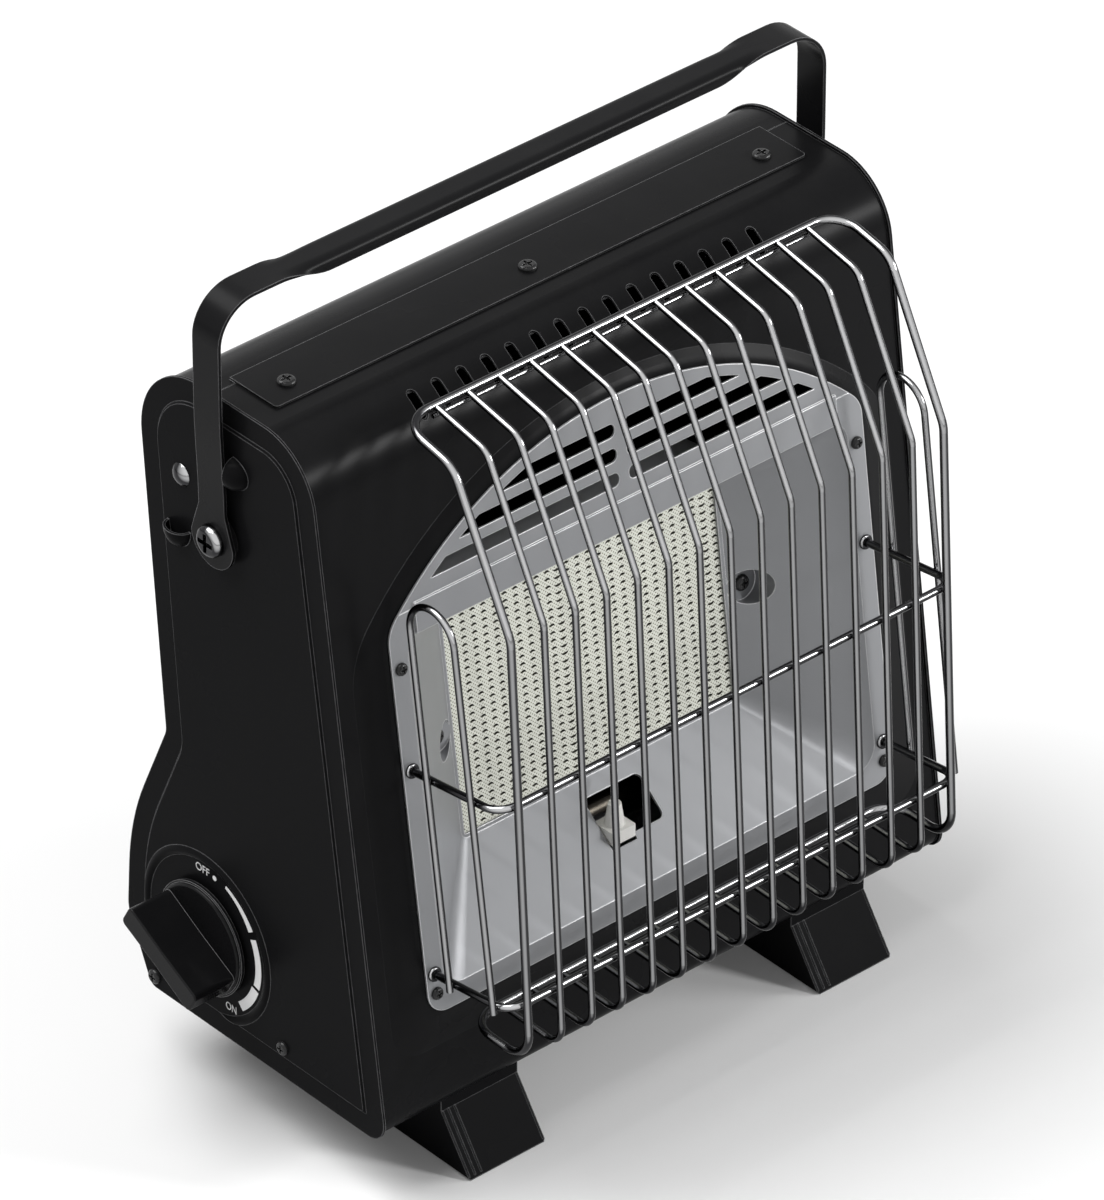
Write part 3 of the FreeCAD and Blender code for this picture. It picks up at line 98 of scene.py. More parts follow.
def makeEdgeGroup():
    # Where a corner is near: 0 on the flat, 1 on the rounded edge, broken up by noise. The mask paints a
    # lighter highlight onto edges; the bevel normal rounds their shading.
    tree, start, end = newGroup("paintedEdgeHighlight",
                                [("Radius", "NodeSocketFloat", 0.0006), ("Break", "NodeSocketFloat", 0.5)],
                                [("Mask", "NodeSocketFloat"), ("Normal", "NodeSocketVector")])
    bevel = addNode(tree, "ShaderNodeBevel", samples=6)
    flat = addNode(tree, "ShaderNodeNewGeometry")
    dot = addNode(tree, "ShaderNodeVectorMath", operation="DOT_PRODUCT")
    ramp = addRamp(tree, 0.998, 0.9)
    coords = addNode(tree, "ShaderNodeTexCoord")
    noise = addNode(tree, "ShaderNodeTexNoise", in_Scale=260.0, in_Detail=3.0)
    cut = addRamp(tree, 0.35, 0.65)
    blend = addNode(tree, "ShaderNodeMix", data_type="FLOAT", in_2=1.0)
    multiply = addNode(tree, "ShaderNodeMath", operation="MULTIPLY")
    link = tree.links.new
    link(start.outputs["Radius"], bevel.inputs["Radius"])
    link(bevel.outputs["Normal"], dot.inputs[0])
    link(flat.outputs["Normal"], dot.inputs[1])
    link(dot.outputs["Value"], ramp.inputs["Value"])
    link(coords.outputs["Object"], noise.inputs["Vector"])
    link(noise.outputs["Fac"], cut.inputs["Value"])
    link(start.outputs["Break"], blend.inputs[0])
    link(cut.outputs["Result"], blend.inputs[3])
    link(ramp.outputs["Result"], multiply.inputs[0])
    link(blend.outputs[0], multiply.inputs[1])
    link(multiply.outputs["Value"], end.inputs["Mask"])
    link(bevel.outputs["Normal"], end.inputs["Normal"])
    return tree


def makeGrainGroup():
    # Fine orange peel of sprayed coat or the grain of a cast or rolled surface
    tree, start, end = newGroup("surfaceGrain", [("Size", "NodeSocketFloat", 900.0)],
                                [("Height", "NodeSocketFloat"), ("Patches", "NodeSocketFloat")])
    coords = addNode(tree, "ShaderNodeTexCoord")
    fine = addNode(tree, "ShaderNodeTexNoise", in_Detail=4.0, in_Roughness=0.6)
    broad = addNode(tree, "ShaderNodeTexNoise", in_Scale=14.0, in_Detail=5.0)
    link = tree.links.new
    link(coords.outputs["Object"], fine.inputs["Vector"])
    link(start.outputs["Size"], fine.inputs["Scale"])
    link(coords.outputs["Object"], broad.inputs["Vector"])
    link(fine.outputs["Fac"], end.inputs["Height"])
    link(broad.outputs["Fac"], end.inputs["Patches"])
    return tree


def makeDustGroup():
    # Light dust on what faces up, in soft patches
    tree, start, end = newGroup("settledDust", [("Amount", "NodeSocketFloat", 0.1)],
                                [("Mask", "NodeSocketFloat")])
    flat = addNode(tree, "ShaderNodeNewGeometry")
    parts = addNode(tree, "ShaderNodeSeparateXYZ")
    up = addRamp(tree, 0.3, 1.0)
    coords = addNode(tree, "ShaderNodeTexCoord")
    noise = addNode(tree, "ShaderNodeTexNoise", in_Scale=38.0, in_Detail=8.0, in_Roughness=0.7)
    cut = addRamp(tree, 0.42, 0.75)
    both = addNode(tree, "ShaderNodeMath", operation="MULTIPLY")
    scale = addNode(tree, "ShaderNodeMath", operation="MULTIPLY")
    link = tree.links.new
    link(flat.outputs["Normal"], parts.inputs[0])
    link(parts.outputs["Z"], up.inputs["Value"])
    link(coords.outputs["Object"], noise.inputs["Vector"])
    link(noise.outputs["Fac"], cut.inputs["Value"])
    link(up.outputs["Result"], both.inputs[0])
    link(cut.outputs["Result"], both.inputs[1])
    link(both.outputs["Value"], scale.inputs[0])
    link(start.outputs["Amount"], scale.inputs[1])
    link(scale.outputs["Value"], end.inputs["Mask"])
    return tree


def makeDotGroup():
    # The plaque's small gas holes: two staggered grids of round dots, one dot to each unit of its UV. The
    # dots are painted dark as the shade inside the holes.
    tree, start, end = newGroup("paintedGasHoleShade", [("Radius", "NodeSocketFloat", 0.17)],
                                [("Mask", "NodeSocketFloat")])
    link = tree.links.new
    flat = addNode(tree, "ShaderNodeUVMap", uv_map="dotCells")
    masks = []
    for shift in (0.0, 0.5):
        moved = addNode(tree, "ShaderNodeVectorMath", operation="ADD", in_1=(shift, shift, 0))
        part = addNode(tree, "ShaderNodeVectorMath", operation="FRACTION")
        centred = addNode(tree, "ShaderNodeVectorMath", operation="SUBTRACT", in_1=(0.5, 0.5, 0))
        reach = addNode(tree, "ShaderNodeVectorMath", operation="LENGTH")
        inside = addNode(tree, "ShaderNodeMath", operation="SUBTRACT")
        sharp = addRamp(tree, -0.05, 0.05)
        link(flat.outputs["UV"], moved.inputs[0])
        link(moved.outputs["Vector"], part.inputs[0])
        link(part.outputs["Vector"], centred.inputs[0])
        link(centred.outputs["Vector"], reach.inputs[0])
        link(start.outputs["Radius"], inside.inputs[0])
        link(reach.outputs["Value"], inside.inputs[1])
        link(inside.outputs["Value"], sharp.inputs["Value"])
        masks.append(sharp)
    both = addNode(tree, "ShaderNodeMath", operation="MAXIMUM")
    link(masks[0].outputs["Result"], both.inputs[0])
    link(masks[1].outputs["Result"], both.inputs[1])
    link(both.outputs["Value"], end.inputs["Mask"])
    return tree


edgeGroup = makeEdgeGroup()
grainGroup = makeGrainGroup()
dustGroup = makeDustGroup()
dotGroup = makeDotGroup()


def useGroup(tree, group, **values):
    node = tree.nodes.new("ShaderNodeGroup")
    node.node_tree = group
    for key, value in values.items():
        node.inputs[key].default_value = value
    return node


def mixColour(tree, factor, under, over):
    # under and over are sockets or plain colours; a Mix node takes its colours at inputs 6 and 7
    mix = addNode(tree, "ShaderNodeMix", data_type="RGBA")
    tree.links.new(factor, mix.inputs[0])
    for index, value in ((6, under), (7, over)):
        if isinstance(value, tuple):
            mix.inputs[index].default_value = (*value, 1)
        else:
            tree.links.new(value, mix.inputs[index])
    return mix.outputs[2]


dustColour = (0.45, 0.44, 0.42)
plainIor = 1.5


def makeMaterial(name, look):
    material = bpy.data.materials.new(name)
    material.use_nodes = True
    tree = material.node_tree
    shader = tree.nodes["Principled BSDF"]
    link = tree.links.new
    edge = useGroup(tree, edgeGroup, Radius=look["edgeRadius"] * mm, Break=look["edgeBreak"])
    grain = useGroup(tree, grainGroup, Size=look["grainSize"])
    dust = useGroup(tree, dustGroup, Amount=look["dust"])
    colour = mixColour(tree, grain.outputs["Patches"], look["colour"], look["patchColour"])
    # Edges take a lighter colour by the edge mask: a painted highlight
    colour = mixColour(tree, edge.outputs["Mask"], colour, look["paintedEdgeHighlightColour"])
    colour = mixColour(tree, dust.outputs["Mask"], colour, dustColour)
    # Darker towards the silhouette, by how much the surface faces the view: a painted dark reflection on
    # the wires' flanks
    if "paintedRimReflectionColour" in look:
        facing = addNode(tree, "ShaderNodeLayerWeight", in_Blend=look["paintedRimBlend"])
        rim = addRamp(tree, look["paintedRimStart"], look["paintedRimEnd"])
        link(facing.outputs["Facing"], rim.inputs["Value"])
        colour = mixColour(tree, rim.outputs["Result"], colour, look["paintedRimReflectionColour"])
    # Dark dots for the gas holes: painted shade inside the holes
    if "paintedHoleShadeColour" in look:
        dots = useGroup(tree, dotGroup, Radius=look["dotRadius"])
        colour = mixColour(tree, dots.outputs["Mask"], colour, look["paintedHoleShadeColour"])
    if "sootColour" in look:
        # Blackened up to sootFrom along X, bright beyond sootTo
        coords = addNode(tree, "ShaderNodeTexCoord")
        parts = addNode(tree, "ShaderNodeSeparateXYZ")
        soot = addRamp(tree, look["sootTo"], look["sootFrom"])
        link(coords.outputs["Object"], parts.inputs[0])
        link(parts.outputs["X"], soot.inputs["Value"])
        colour = mixColour(tree, soot.outputs["Result"], colour, look["sootColour"])
    link(colour, shader.inputs["Base Color"])
    rough = addNode(tree, "ShaderNodeMapRange", in_1=0.3, in_2=0.7,
                    in_3=look["rough"] - look["roughSpread"], in_4=look["rough"] + look["roughSpread"])
    link(grain.outputs["Patches"], rough.inputs["Value"])
    link(rough.outputs["Result"], shader.inputs["Roughness"])
    shader.inputs["Metallic"].default_value = look["metal"]
    shader.inputs["IOR"].default_value = look.get("ior", plainIor)
    bump = addNode(tree, "ShaderNodeBump", in_Strength=look["grainStrength"],
                   in_Distance=look["grainDepth"] * mm)
    link(grain.outputs["Height"], bump.inputs["Height"])
    link(edge.outputs["Normal"], bump.inputs["Normal"])
    link(bump.outputs["Normal"], shader.inputs["Normal"])
    return material


# edgeRadius and grainDepth in mm, soot in metres, the rest as the nodes take it
# The edge colour of each look is a painted highlight on its edges
coat = {"colour": (0.006, 0.006, 0.0065), "patchColour": (0.008, 0.008, 0.0085),
        "paintedEdgeHighlightColour": (0.19, 0.19, 0.195), "rough": 0.28, "roughSpread": 0.025, "metal": 0.0, "ior": 1.14,
        "edgeRadius": 0.5, "edgeBreak": 0.35, "grainSize": 2200.0, "grainStrength": 0.1, "grainDepth": 0.05,
        "dust": 0.006}
steel = {"colour": (0.5, 0.51, 0.52), "patchColour": (0.42, 0.43, 0.44), "paintedEdgeHighlightColour": (0.72, 0.72, 0.72),
         "rough": 0.34, "roughSpread": 0.05, "metal": 1.0, "edgeRadius": 0.3, "edgeBreak": 0.6,
         "grainSize": 700.0, "grainStrength": 0.15, "grainDepth": 0.04, "dust": 0.03}
fired = {**steel, "metal": 0.0, "rough": 0.85, "grainStrength": 0.5, "grainDepth": 0.08, "dust": 0.0}

looks = {
    "shell_black": coat,
    "screw_black": {**coat, "colour": (0.012, 0.012, 0.013), "patchColour": (0.02, 0.02, 0.02),
                    "paintedEdgeHighlightColour": (0.12, 0.12, 0.12), "rough": 0.22, "ior": 1.35, "edgeRadius": 0.2},
    "reflector_grey": {**steel, "colour": (0.29, 0.295, 0.306), "patchColour": (0.26, 0.265, 0.275),
                       "paintedEdgeHighlightColour": (0.8, 0.8, 0.81), "rough": 0.4, "metal": 0.5, "edgeRadius": 0.6,
                       "edgeBreak": 0.2, "grainSize": 1400.0, "grainDepth": 0.015, "dust": 0.0},
    "inner_steel": steel,
    "brass": {**steel, "colour": (0.62, 0.42, 0.15), "patchColour": (0.5, 0.33, 0.11),
              "paintedEdgeHighlightColour": (0.85, 0.66, 0.3), "rough": 0.25, "sootColour": (0.02, 0.018, 0.015),
              "sootFrom": 0.0245, "sootTo": 0.0265},
    "gasket": {**fired, "colour": (0.7, 0.69, 0.65), "patchColour": (0.6, 0.59, 0.55),
               "paintedEdgeHighlightColour": (0.8, 0.79, 0.75)},
    "knob_black": {**coat, "paintedEdgeHighlightColour": (0.24, 0.24, 0.245), "rough": 0.2, "roughSpread": 0.04,
                   "ior": 1.18, "edgeRadius": 0.35, "edgeBreak": 0.1, "grainDepth": 0.01},
    "plastic_black": {**coat, "rough": 0.55, "colour": (0.02, 0.02, 0.02)},
    # The wire's rim colour darkens its flanks: a painted dark reflection
    "wire_chrome": {**steel, "colour": (0.6, 0.602, 0.608), "patchColour": (0.52, 0.522, 0.528),
                    "paintedEdgeHighlightColour": (0.55, 0.55, 0.55), "rough": 0.17, "roughSpread": 0.03, "edgeBreak": 0.9,
                    "grainDepth": 0.004, "dust": 0.0, "paintedRimReflectionColour": (0.03, 0.03, 0.032), "paintedRimBlend": 0.5,
                    "paintedRimStart": 0.03, "paintedRimEnd": 0.3},
    "white_ceramic": {**fired, "colour": (0.8, 0.79, 0.76), "patchColour": (0.74, 0.73, 0.69),
                      "paintedEdgeHighlightColour": (0.85, 0.84, 0.8), "rough": 0.3, "grainStrength": 0.15},
    # The dot colour is painted shade in the gas holes
    "ceramic": {**fired, "colour": (0.8, 0.81, 0.73), "patchColour": (0.76, 0.77, 0.69),
                "paintedEdgeHighlightColour": (0.82, 0.82, 0.76), "paintedHoleShadeColour": (0.19, 0.19, 0.13), "dotRadius": 0.16},
    "magnet": {**steel, "colour": (0.05, 0.05, 0.052), "patchColour": (0.035, 0.035, 0.036),
               "paintedEdgeHighlightColour": (0.12, 0.12, 0.12), "rough": 0.5, "metal": 0.4},
    "marking_white": {**fired, "colour": (0.8, 0.8, 0.8), "patchColour": (0.76, 0.76, 0.76),
                      "paintedEdgeHighlightColour": (0.8, 0.8, 0.8), "rough": 0.5, "grainStrength": 0.05},
}
materials = {name: makeMaterial(name, look) for name, look in looks.items()}
panelCoat = makeMaterial("panel_black", {**coat, "ior": 1.07})
# The pits' walls and floors take this dark colour: painted shade inside the holes
paintedPitShade = makeMaterial("plaque_pit_painted_shade", {**fired, "colour": (0.045, 0.045, 0.03),
                                       "patchColour": (0.07, 0.07, 0.05), "paintedEdgeHighlightColour": (0.1, 0.1, 0.07)})
print("materials made:", len(bpy.data.materials))

# These take the coat with the weaker shine
dullNodes = ("left_side_panel", "right_side_panel", "foot_left", "foot_right", "base_pan")
slotOf = {part["node"]: part["material_slot"] for part in frame["record"]["subparts"]}
for nodeName, node in nodes.items():
    node.data.materials.clear()
    node.data.materials.append(panelCoat if nodeName in dullNodes else materials[slotOf[nodeName]])
print("frame pieces dressed:", len(nodes))


def addPiece(name, bm, slotName, crease, extra=()):
    # Turns a finished bmesh into an object at the origin; edges sharper than crease stay sharp
    bmesh.ops.recalc_face_normals(bm, faces=bm.faces)
    mesh = bpy.data.meshes.new(name)
    for face in bm.faces:
        face.smooth = True
    for edge in bm.edges:
        if len(edge.link_faces) == 2 and edge.calc_face_angle(0.0) > crease:
            edge.smooth = False
    bm.to_mesh(mesh)
    bm.free()
    mesh.materials.append(materials[slotName])
    for material in extra:
        mesh.materials.append(material)
    item = bpy.data.objects.new(name, mesh)
    bpy.context.scene.collection.objects.link(item)
    return item


# In mm on the burner's face, but merge in metres, crease in radians
tile = {"seams": (-9.6, 55.1), "seamGap": 4.3, "pitch": 4.68, "leftColumns": 11, "middleColumns": 13,
        "rows": 31, "rowPitch": 2.9, "low": 29.0, "halfWidth": 66.0, "front": -28.9, "thick": 12.0,
        "pitHalf": 1.18, "pitRise": 1.05, "pitSag": 0.15, "pitDepth": 0.9, "pitSteps": 6, "seamHalf": 1.5,
        "dotPitch": (1.56, 1.45), "merge": 0.00001, "crease": 0.4}


def plaqueColumns():
    # (x, direction) of each column of pits; the seams' crescents hang the other way
    first, second = tile["seams"]
    plain = [first - tile["seamGap"] - step * tile["pitch"] for step in range(tile["leftColumns"])]
    plain += [first + tile["seamGap"] + step * tile["pitch"] for step in range(tile["middleColumns"])]
    plain.append(second + tile["seamGap"])
    return sorted([(x, 1) for x in plain] + [(x, -1) for x in tile["seams"]])


def plaqueCell(bm, x, left, right, low, flip):
    # One oblong of the burner's face with its half-moon pit
    high = low + tile["rowPitch"]
    middle = (low + high) / 2
    half = tile["pitHalf"] if flip > 0 else tile["seamHalf"]
    deep = tile["pitDepth"]

    def onto(across, up, sunk=0.0):
        return bm.verts.new(onFront(across, up, tile["front"] - sunk))

    spots = []
    for step in range(tile["pitSteps"] + 1):
        angle = math.pi * step / tile["pitSteps"]
        arcs = sorted((flip * tile["pitSag"] * math.sin(angle), flip * tile["pitRise"] * math.sin(angle)))
        spots.append((x - half * math.cos(angle), middle + arcs[0], middle + arcs[1]))
    floor = []
    for (x0, under0, over0), (x1, under1, over1) in zip(spots, spots[1:]):
        bm.faces.new((onto(x0, low), onto(x1, low), onto(x1, under1), onto(x0, under0)))
        bm.faces.new((onto(x0, over0), onto(x1, over1), onto(x1, high), onto(x0, high)))
        # Walls and floor of the pit take slot 1, the dark painted shade
        for a, b in ((under0, under1), (over0, over1)):
            wall = bm.faces.new((onto(x0, a), onto(x1, b), onto(x1, b, deep), onto(x0, a, deep)))
            wall.material_index = 1
        if under0 < over0 and under1 < over1:
            floor.append([(x0, under0), (x1, under1), (x1, over1), (x0, over0)])
        elif under1 < over1:
            floor.append([(x0, under0), (x1, under1), (x1, over1)])
        else:
            floor.append([(x0, under0), (x1, under1), (x0, over0)])
    for outline in floor:
        bm.faces.new([onto(a, b, deep) for a, b in outline]).material_index = 1
    tipLeft = x - half
    tipRight = x + half
    bm.faces.new((onto(left, low), onto(tipLeft, low), onto(tipLeft, middle), onto(tipLeft, high),
                  onto(left, high)))
    bm.faces.new((onto(tipRight, low), onto(right, low), onto(right, high), onto(tipRight, high),
                  onto(tipRight, middle)))


def makePlaques():
    bm = bmesh.new()
    columns = plaqueColumns()
    between = [(a[0] + b[0]) / 2 for a, b in zip(columns, columns[1:])]
    edges = [-tile["halfWidth"], *between, tile["halfWidth"]]
    for (x, flip), left, right in zip(columns, edges, edges[1:]):
        for row in range(tile["rows"]):
            plaqueCell(bm, x, left, right, tile["low"] + row * tile["rowPitch"], flip)
    bmesh.ops.remove_doubles(bm, verts=bm.verts, dist=tile["merge"])
    rim = [edge for edge in bm.edges if len(edge.link_faces) == 1]
    pushed = bmesh.ops.extrude_edge_only(bm, edges=rim)["geom"]
    backVerts = [item for item in pushed if isinstance(item, bmesh.types.BMVert)]
    bmesh.ops.translate(bm, verts=backVerts, vec=outOfFront * -tile["thick"] * mm)
    backEdges = [item for item in pushed if isinstance(item, bmesh.types.BMEdge)]
    bmesh.ops.edgeloop_fill(bm, edges=backEdges)
    layer = bm.loops.layers.uv.new("dotCells")
    origin = onFront(tile["seams"][0], tile["low"], 0)
    wide, tall = tile["dotPitch"]
    for face in bm.faces:
        for loop in face.loops:
            away = loop.vert.co - origin
            loop[layer].uv = (away.x / mm / wide, away.dot(alongFront) / mm / tall)
    piece = addPiece("burnerPlaques", bm, "ceramic", tile["crease"], extra=(paintedPitShade,))
    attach(piece, "body")
    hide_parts("plaque_left", "plaque_right")


makePlaques()
print("plaques made")


# In mm, but merge in metres, crease in radians. settle is the last station before the curl, grip lists
# the fully curled ones up to the middle, and lobeTop, lobeFade and flareFrom are heights above the pivot.
strap = {"outer": 131.5, "flare": 1.2, "top": 324.5, "thick": 1.3, "half": 6.5, "bend": 16.0,
         "pivotY": handlePivot["y"], "pivotZ": handlePivot["z"], "lobe": 10.5, "lobeTop": 7.0,
         "lobeFade": 16.0, "lobeSteps": 20, "flareFrom": 12, "flareRise": 40, "flareSteps": 6,
         "bendSteps": 12, "settle": -111.0, "curlFrom": 106.0, "curlTo": 84.0, "curlSteps": 12,
         "curlRadius": 2.6, "hem": 4.4, "grip": (-60.0, -30.0, 0.0), "across": 16, "thinnest": 0.05,
         "hole": 2.6, "holeSides": 40, "drill": 300.0, "merge": 0.000002, "crease": 0.8}


def easeIn(share):
    return share * share * (3 - 2 * share)


def strapPath():
    # Stations (x, z, outward x, outward z) along the sheet's middle, from the left lobe to the right
    reach = strap["outer"] + strap["flare"] - strap["thick"] / 2
    low = strap["outer"] - strap["thick"] / 2
    top = strap["top"] - strap["thick"] / 2
    radius = strap["bend"] - strap["thick"] / 2
    half = []
    for step in range(strap["lobeSteps"] + 1):
        z = strap["pivotZ"] - strap["lobe"] * math.cos(math.pi * step / (2 * strap["lobeSteps"]))
        half.append((-low, z, -1.0, 0.0))
    for step in range(strap["flareSteps"] + 1):
        share = step / strap["flareSteps"]
        z = strap["pivotZ"] + strap["flareFrom"] + strap["flareRise"] * share
        half.append((-low - (reach - low) * easeIn(share), z, -1.0, 0.0))
    for step in range(strap["bendSteps"] + 1):
        angle = math.radians(90 * step / strap["bendSteps"])
        out = (-math.cos(angle), math.sin(angle))
        half.append((-reach + radius + out[0] * radius, top - radius + out[1] * radius, *out))
    half.append((strap["settle"], top, 0.0, 1.0))
    for step in range(strap["curlSteps"] + 1):
        x = -strap["curlFrom"] + (strap["curlFrom"] - strap["curlTo"]) * step / strap["curlSteps"]
        half.append((x, top, 0.0, 1.0))
    half += [(x, top, 0.0, 1.0) for x in strap["grip"]]
    return half + [(-x, z, -outX, outZ) for x, z, outX, outZ in reversed(half[:-1])]


def strapSection(x, z):
    # Points (across, drop) of the sheet's middle line; the grip's edges curl down
    curl = 0.0
    if z > strap["top"] - 2.0:
        share = (strap["curlFrom"] - abs(x)) / (strap["curlFrom"] - strap["curlTo"])
        curl = easeIn(min(max(share, 0.0), 1.0))
    half = strap["half"]
    if z < strap["pivotZ"] + strap["lobeFade"]:
        near = max(strap["lobe"] ** 2 - (z - strap["pivotZ"]) ** 2, 0.0) ** 0.5
        half = near if z < strap["pivotZ"] + strap["lobeTop"] else max(near, strap["half"])
    half = max(half, strap["thinnest"])
    radius = strap["curlRadius"]
    flat = strap["half"] - strap["thick"] / 2 - radius
    arc = radius * math.pi / 2
    length = flat + arc + strap["hem"] - radius
    points = []
    for step in range(-strap["across"], strap["across"] + 1):
        share = step / strap["across"]
        side = 1 if share >= 0 else -1
        run = abs(share) * length
        if run < flat:
            curled = (run, 0.0)
        elif run < flat + arc:
            angle = (run - flat) / radius
            curled = (flat + radius * math.sin(angle), radius * (1 - math.cos(angle)))
        else:
            curled = (flat + radius, radius + run - flat - arc)
        plain = abs(share) * half
        points.append((side * (plain + (curled[0] - plain) * curl), curled[1] * curl))
    return points


def strapRing(bm, x, z, outX, outZ):
    # The closed section at one station: along its outer face, then back along its inner one
    section = strapSection(x, z)
    outerRow = []
    innerRow = []
    for index, (across, drop) in enumerate(section):
        before = section[max(index - 1, 0)]
        after = section[min(index + 1, len(section) - 1)]
        run = Vector((after[0] - before[0], after[1] - before[1])).normalized()
        up = Vector((run.y, -run.x))
        if up.y > 0:
            up = up * -1
        if abs(up.y) < 0.001:
            up = Vector((1 if across > 0 else -1, 0))
        for row, reach in ((outerRow, 0.5), (innerRow, -0.5)):
            aside = across + up.x * reach * strap["thick"]
            sunk = drop + up.y * reach * strap["thick"]
            row.append(bm.verts.new(place(x - outX * sunk, strap["pivotY"] + aside, z - outZ * sunk)))
    return outerRow + innerRow[::-1]


def drillStrap(piece):
    # One long bit bores both pivot holes
    cutter = bmesh.new()
    bmesh.ops.create_cone(cutter, cap_ends=True, segments=strap["holeSides"], radius1=strap["hole"] * mm,
                          radius2=strap["hole"] * mm, depth=strap["drill"] * mm)
    quarterTurn = Euler((0, math.pi / 2, 0)).to_matrix()
    bmesh.ops.rotate(cutter, verts=cutter.verts, cent=(0, 0, 0), matrix=quarterTurn)
    bmesh.ops.translate(cutter, verts=cutter.verts, vec=place(0, strap["pivotY"], strap["pivotZ"]))
    drillMesh = bpy.data.meshes.new("strapDrill")
    cutter.to_mesh(drillMesh)
    cutter.free()
    drill = bpy.data.objects.new("strapDrill", drillMesh)
    bpy.context.scene.collection.objects.link(drill)
    bored = piece.modifiers.new("pivotHoles", "BOOLEAN")
    bored.object = drill
    bored.operation = "DIFFERENCE"
    bored.solver = "EXACT"
    graph = bpy.context.evaluated_depsgraph_get()
    finished = bpy.data.meshes.new_from_object(piece.evaluated_get(graph))
    piece.modifiers.clear()
    piece.data = finished
    bpy.data.objects.remove(drill)


def makeStrap():
    bm = bmesh.new()
    rings = [strapRing(bm, *station) for station in strapPath()]
    for first, second in zip(rings, rings[1:]):
        for index in range(len(first)):
            bm.faces.new((first[index - 1], first[index], second[index], second[index - 1]))
    bm.faces.new(rings[0])
    bm.faces.new(rings[-1])
    bmesh.ops.remove_doubles(bm, verts=bm.verts, dist=strap["merge"])
    piece = addPiece("carryStrap", bm, "shell_black", strap["crease"])
    drillStrap(piece)
    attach(piece, "handle")
    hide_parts("handle_strap")


makeStrap()
print("strap made")


# In mm and degrees round the knob's axis, but merge in metres, crease in radians.
# dot: distance, angle, own radius; arcs: width at each end, angle at each end;
# words: text, distance, angle, width.
marks = {"knobY": 90.6, "knobZ": 63.8, "face": -127.6, "film": 0.1, "capHeight": 3.1, "outer": 28.2,
         "dot": (26.4, 100.0, 1.0), "dotSteps": 20, "arcSteps": 16,
         "arcs": ((1.3, 2.6, 112.0, 149.0), (3.0, 3.0, 155.0, 197.0), (3.6, 3.6, 200.0, 230.0)),
         "words": (("OFF", 26.6, 86.5, 7.0), ("ON", 26.4, 243.0, 5.4)), "merge": 0.000001, "crease": 0.5}


def onPanel(radius, angle, lift):
    turn = math.radians(angle)
    return place(marks["face"] - lift, marks["knobY"] + radius * math.cos(turn),
                 marks["knobZ"] + radius * math.sin(turn))


def raisedPatch(bm, rows):
    # rows of (radius, angle) pairs become a thin closed film on the panel
    outline = [bm.verts.new(onPanel(radius, angle, 0.0)) for radius, angle in rows]
    lid = [bm.verts.new(onPanel(radius, angle, marks["film"])) for radius, angle in rows]
    bm.faces.new(outline)
    bm.faces.new(lid)
    for index in range(len(rows)):
        bm.faces.new((outline[index - 1], outline[index], lid[index], lid[index - 1]))


def addArc(bm, startWidth, endWidth, first, last):
    outerRow = []
    innerRow = []
    for step in range(marks["arcSteps"] + 1):
        share = step / marks["arcSteps"]
        angle = first + (last - first) * share
        outerRow.append((marks["outer"], angle))
        innerRow.append((marks["outer"] - startWidth - (endWidth - startWidth) * share, angle))
    raisedPatch(bm, outerRow + innerRow[::-1])


def addDot(bm, radius, angle, dotRadius):
    turn = math.radians(angle)
    ring = []
    for step in range(marks["dotSteps"]):
        around = 2 * math.pi * step / marks["dotSteps"]
        y = radius * math.cos(turn) + dotRadius * math.cos(around)
        z = radius * math.sin(turn) + dotRadius * math.sin(around)
        ring.append((math.hypot(y, z), math.degrees(math.atan2(z, y))))
    raisedPatch(bm, ring)


def addWord(bm, word, radius, angle, width):
    curve = bpy.data.curves.new("dialWord", "FONT")
    curve.body = word
    curve.align_x = "CENTER"
    curve.align_y = "CENTER"
    curve.extrude = 0.5
    holder = bpy.data.objects.new("dialWord", curve)
    bpy.context.scene.collection.objects.link(holder)
    graph = bpy.context.evaluated_depsgraph_get()
    mesh = bpy.data.meshes.new_from_object(holder.evaluated_get(graph))
    spans = [[vertex.co[axis] for vertex in mesh.vertices] for axis in (0, 1)]
    size = [max(span) - min(span) for span in spans]
    middle = [(max(span) + min(span)) / 2 for span in spans]
    turn = math.radians(angle)
    y = marks["knobY"] + radius * math.cos(turn)
    z = marks["knobZ"] + radius * math.sin(turn)
    for vertex in mesh.vertices:
        across = (vertex.co.x - middle[0]) * width / size[0]
        high = (vertex.co.y - middle[1]) * marks["capHeight"] / size[1]
        lift = marks["film"] if vertex.co.z > 0 else 0.0
        vertex.co = place(marks["face"] - lift, y - across, z + high)
    bm.from_mesh(mesh)
    bpy.data.objects.remove(holder)
    bpy.data.curves.remove(curve)
    bpy.data.meshes.remove(mesh)


def makeMarks():
    bm = bmesh.new()
    for arc in marks["arcs"]:
        addArc(bm, *arc)
    addDot(bm, *marks["dot"])
    for word in marks["words"]:
        addWord(bm, *word)
    bmesh.ops.remove_doubles(bm, verts=bm.verts, dist=marks["merge"])
    piece = addPiece("dialMarks", bm, "marking_white", marks["crease"])
    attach(piece, "body")
    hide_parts("dial_marks")


makeMarks()
print("dial marks made")


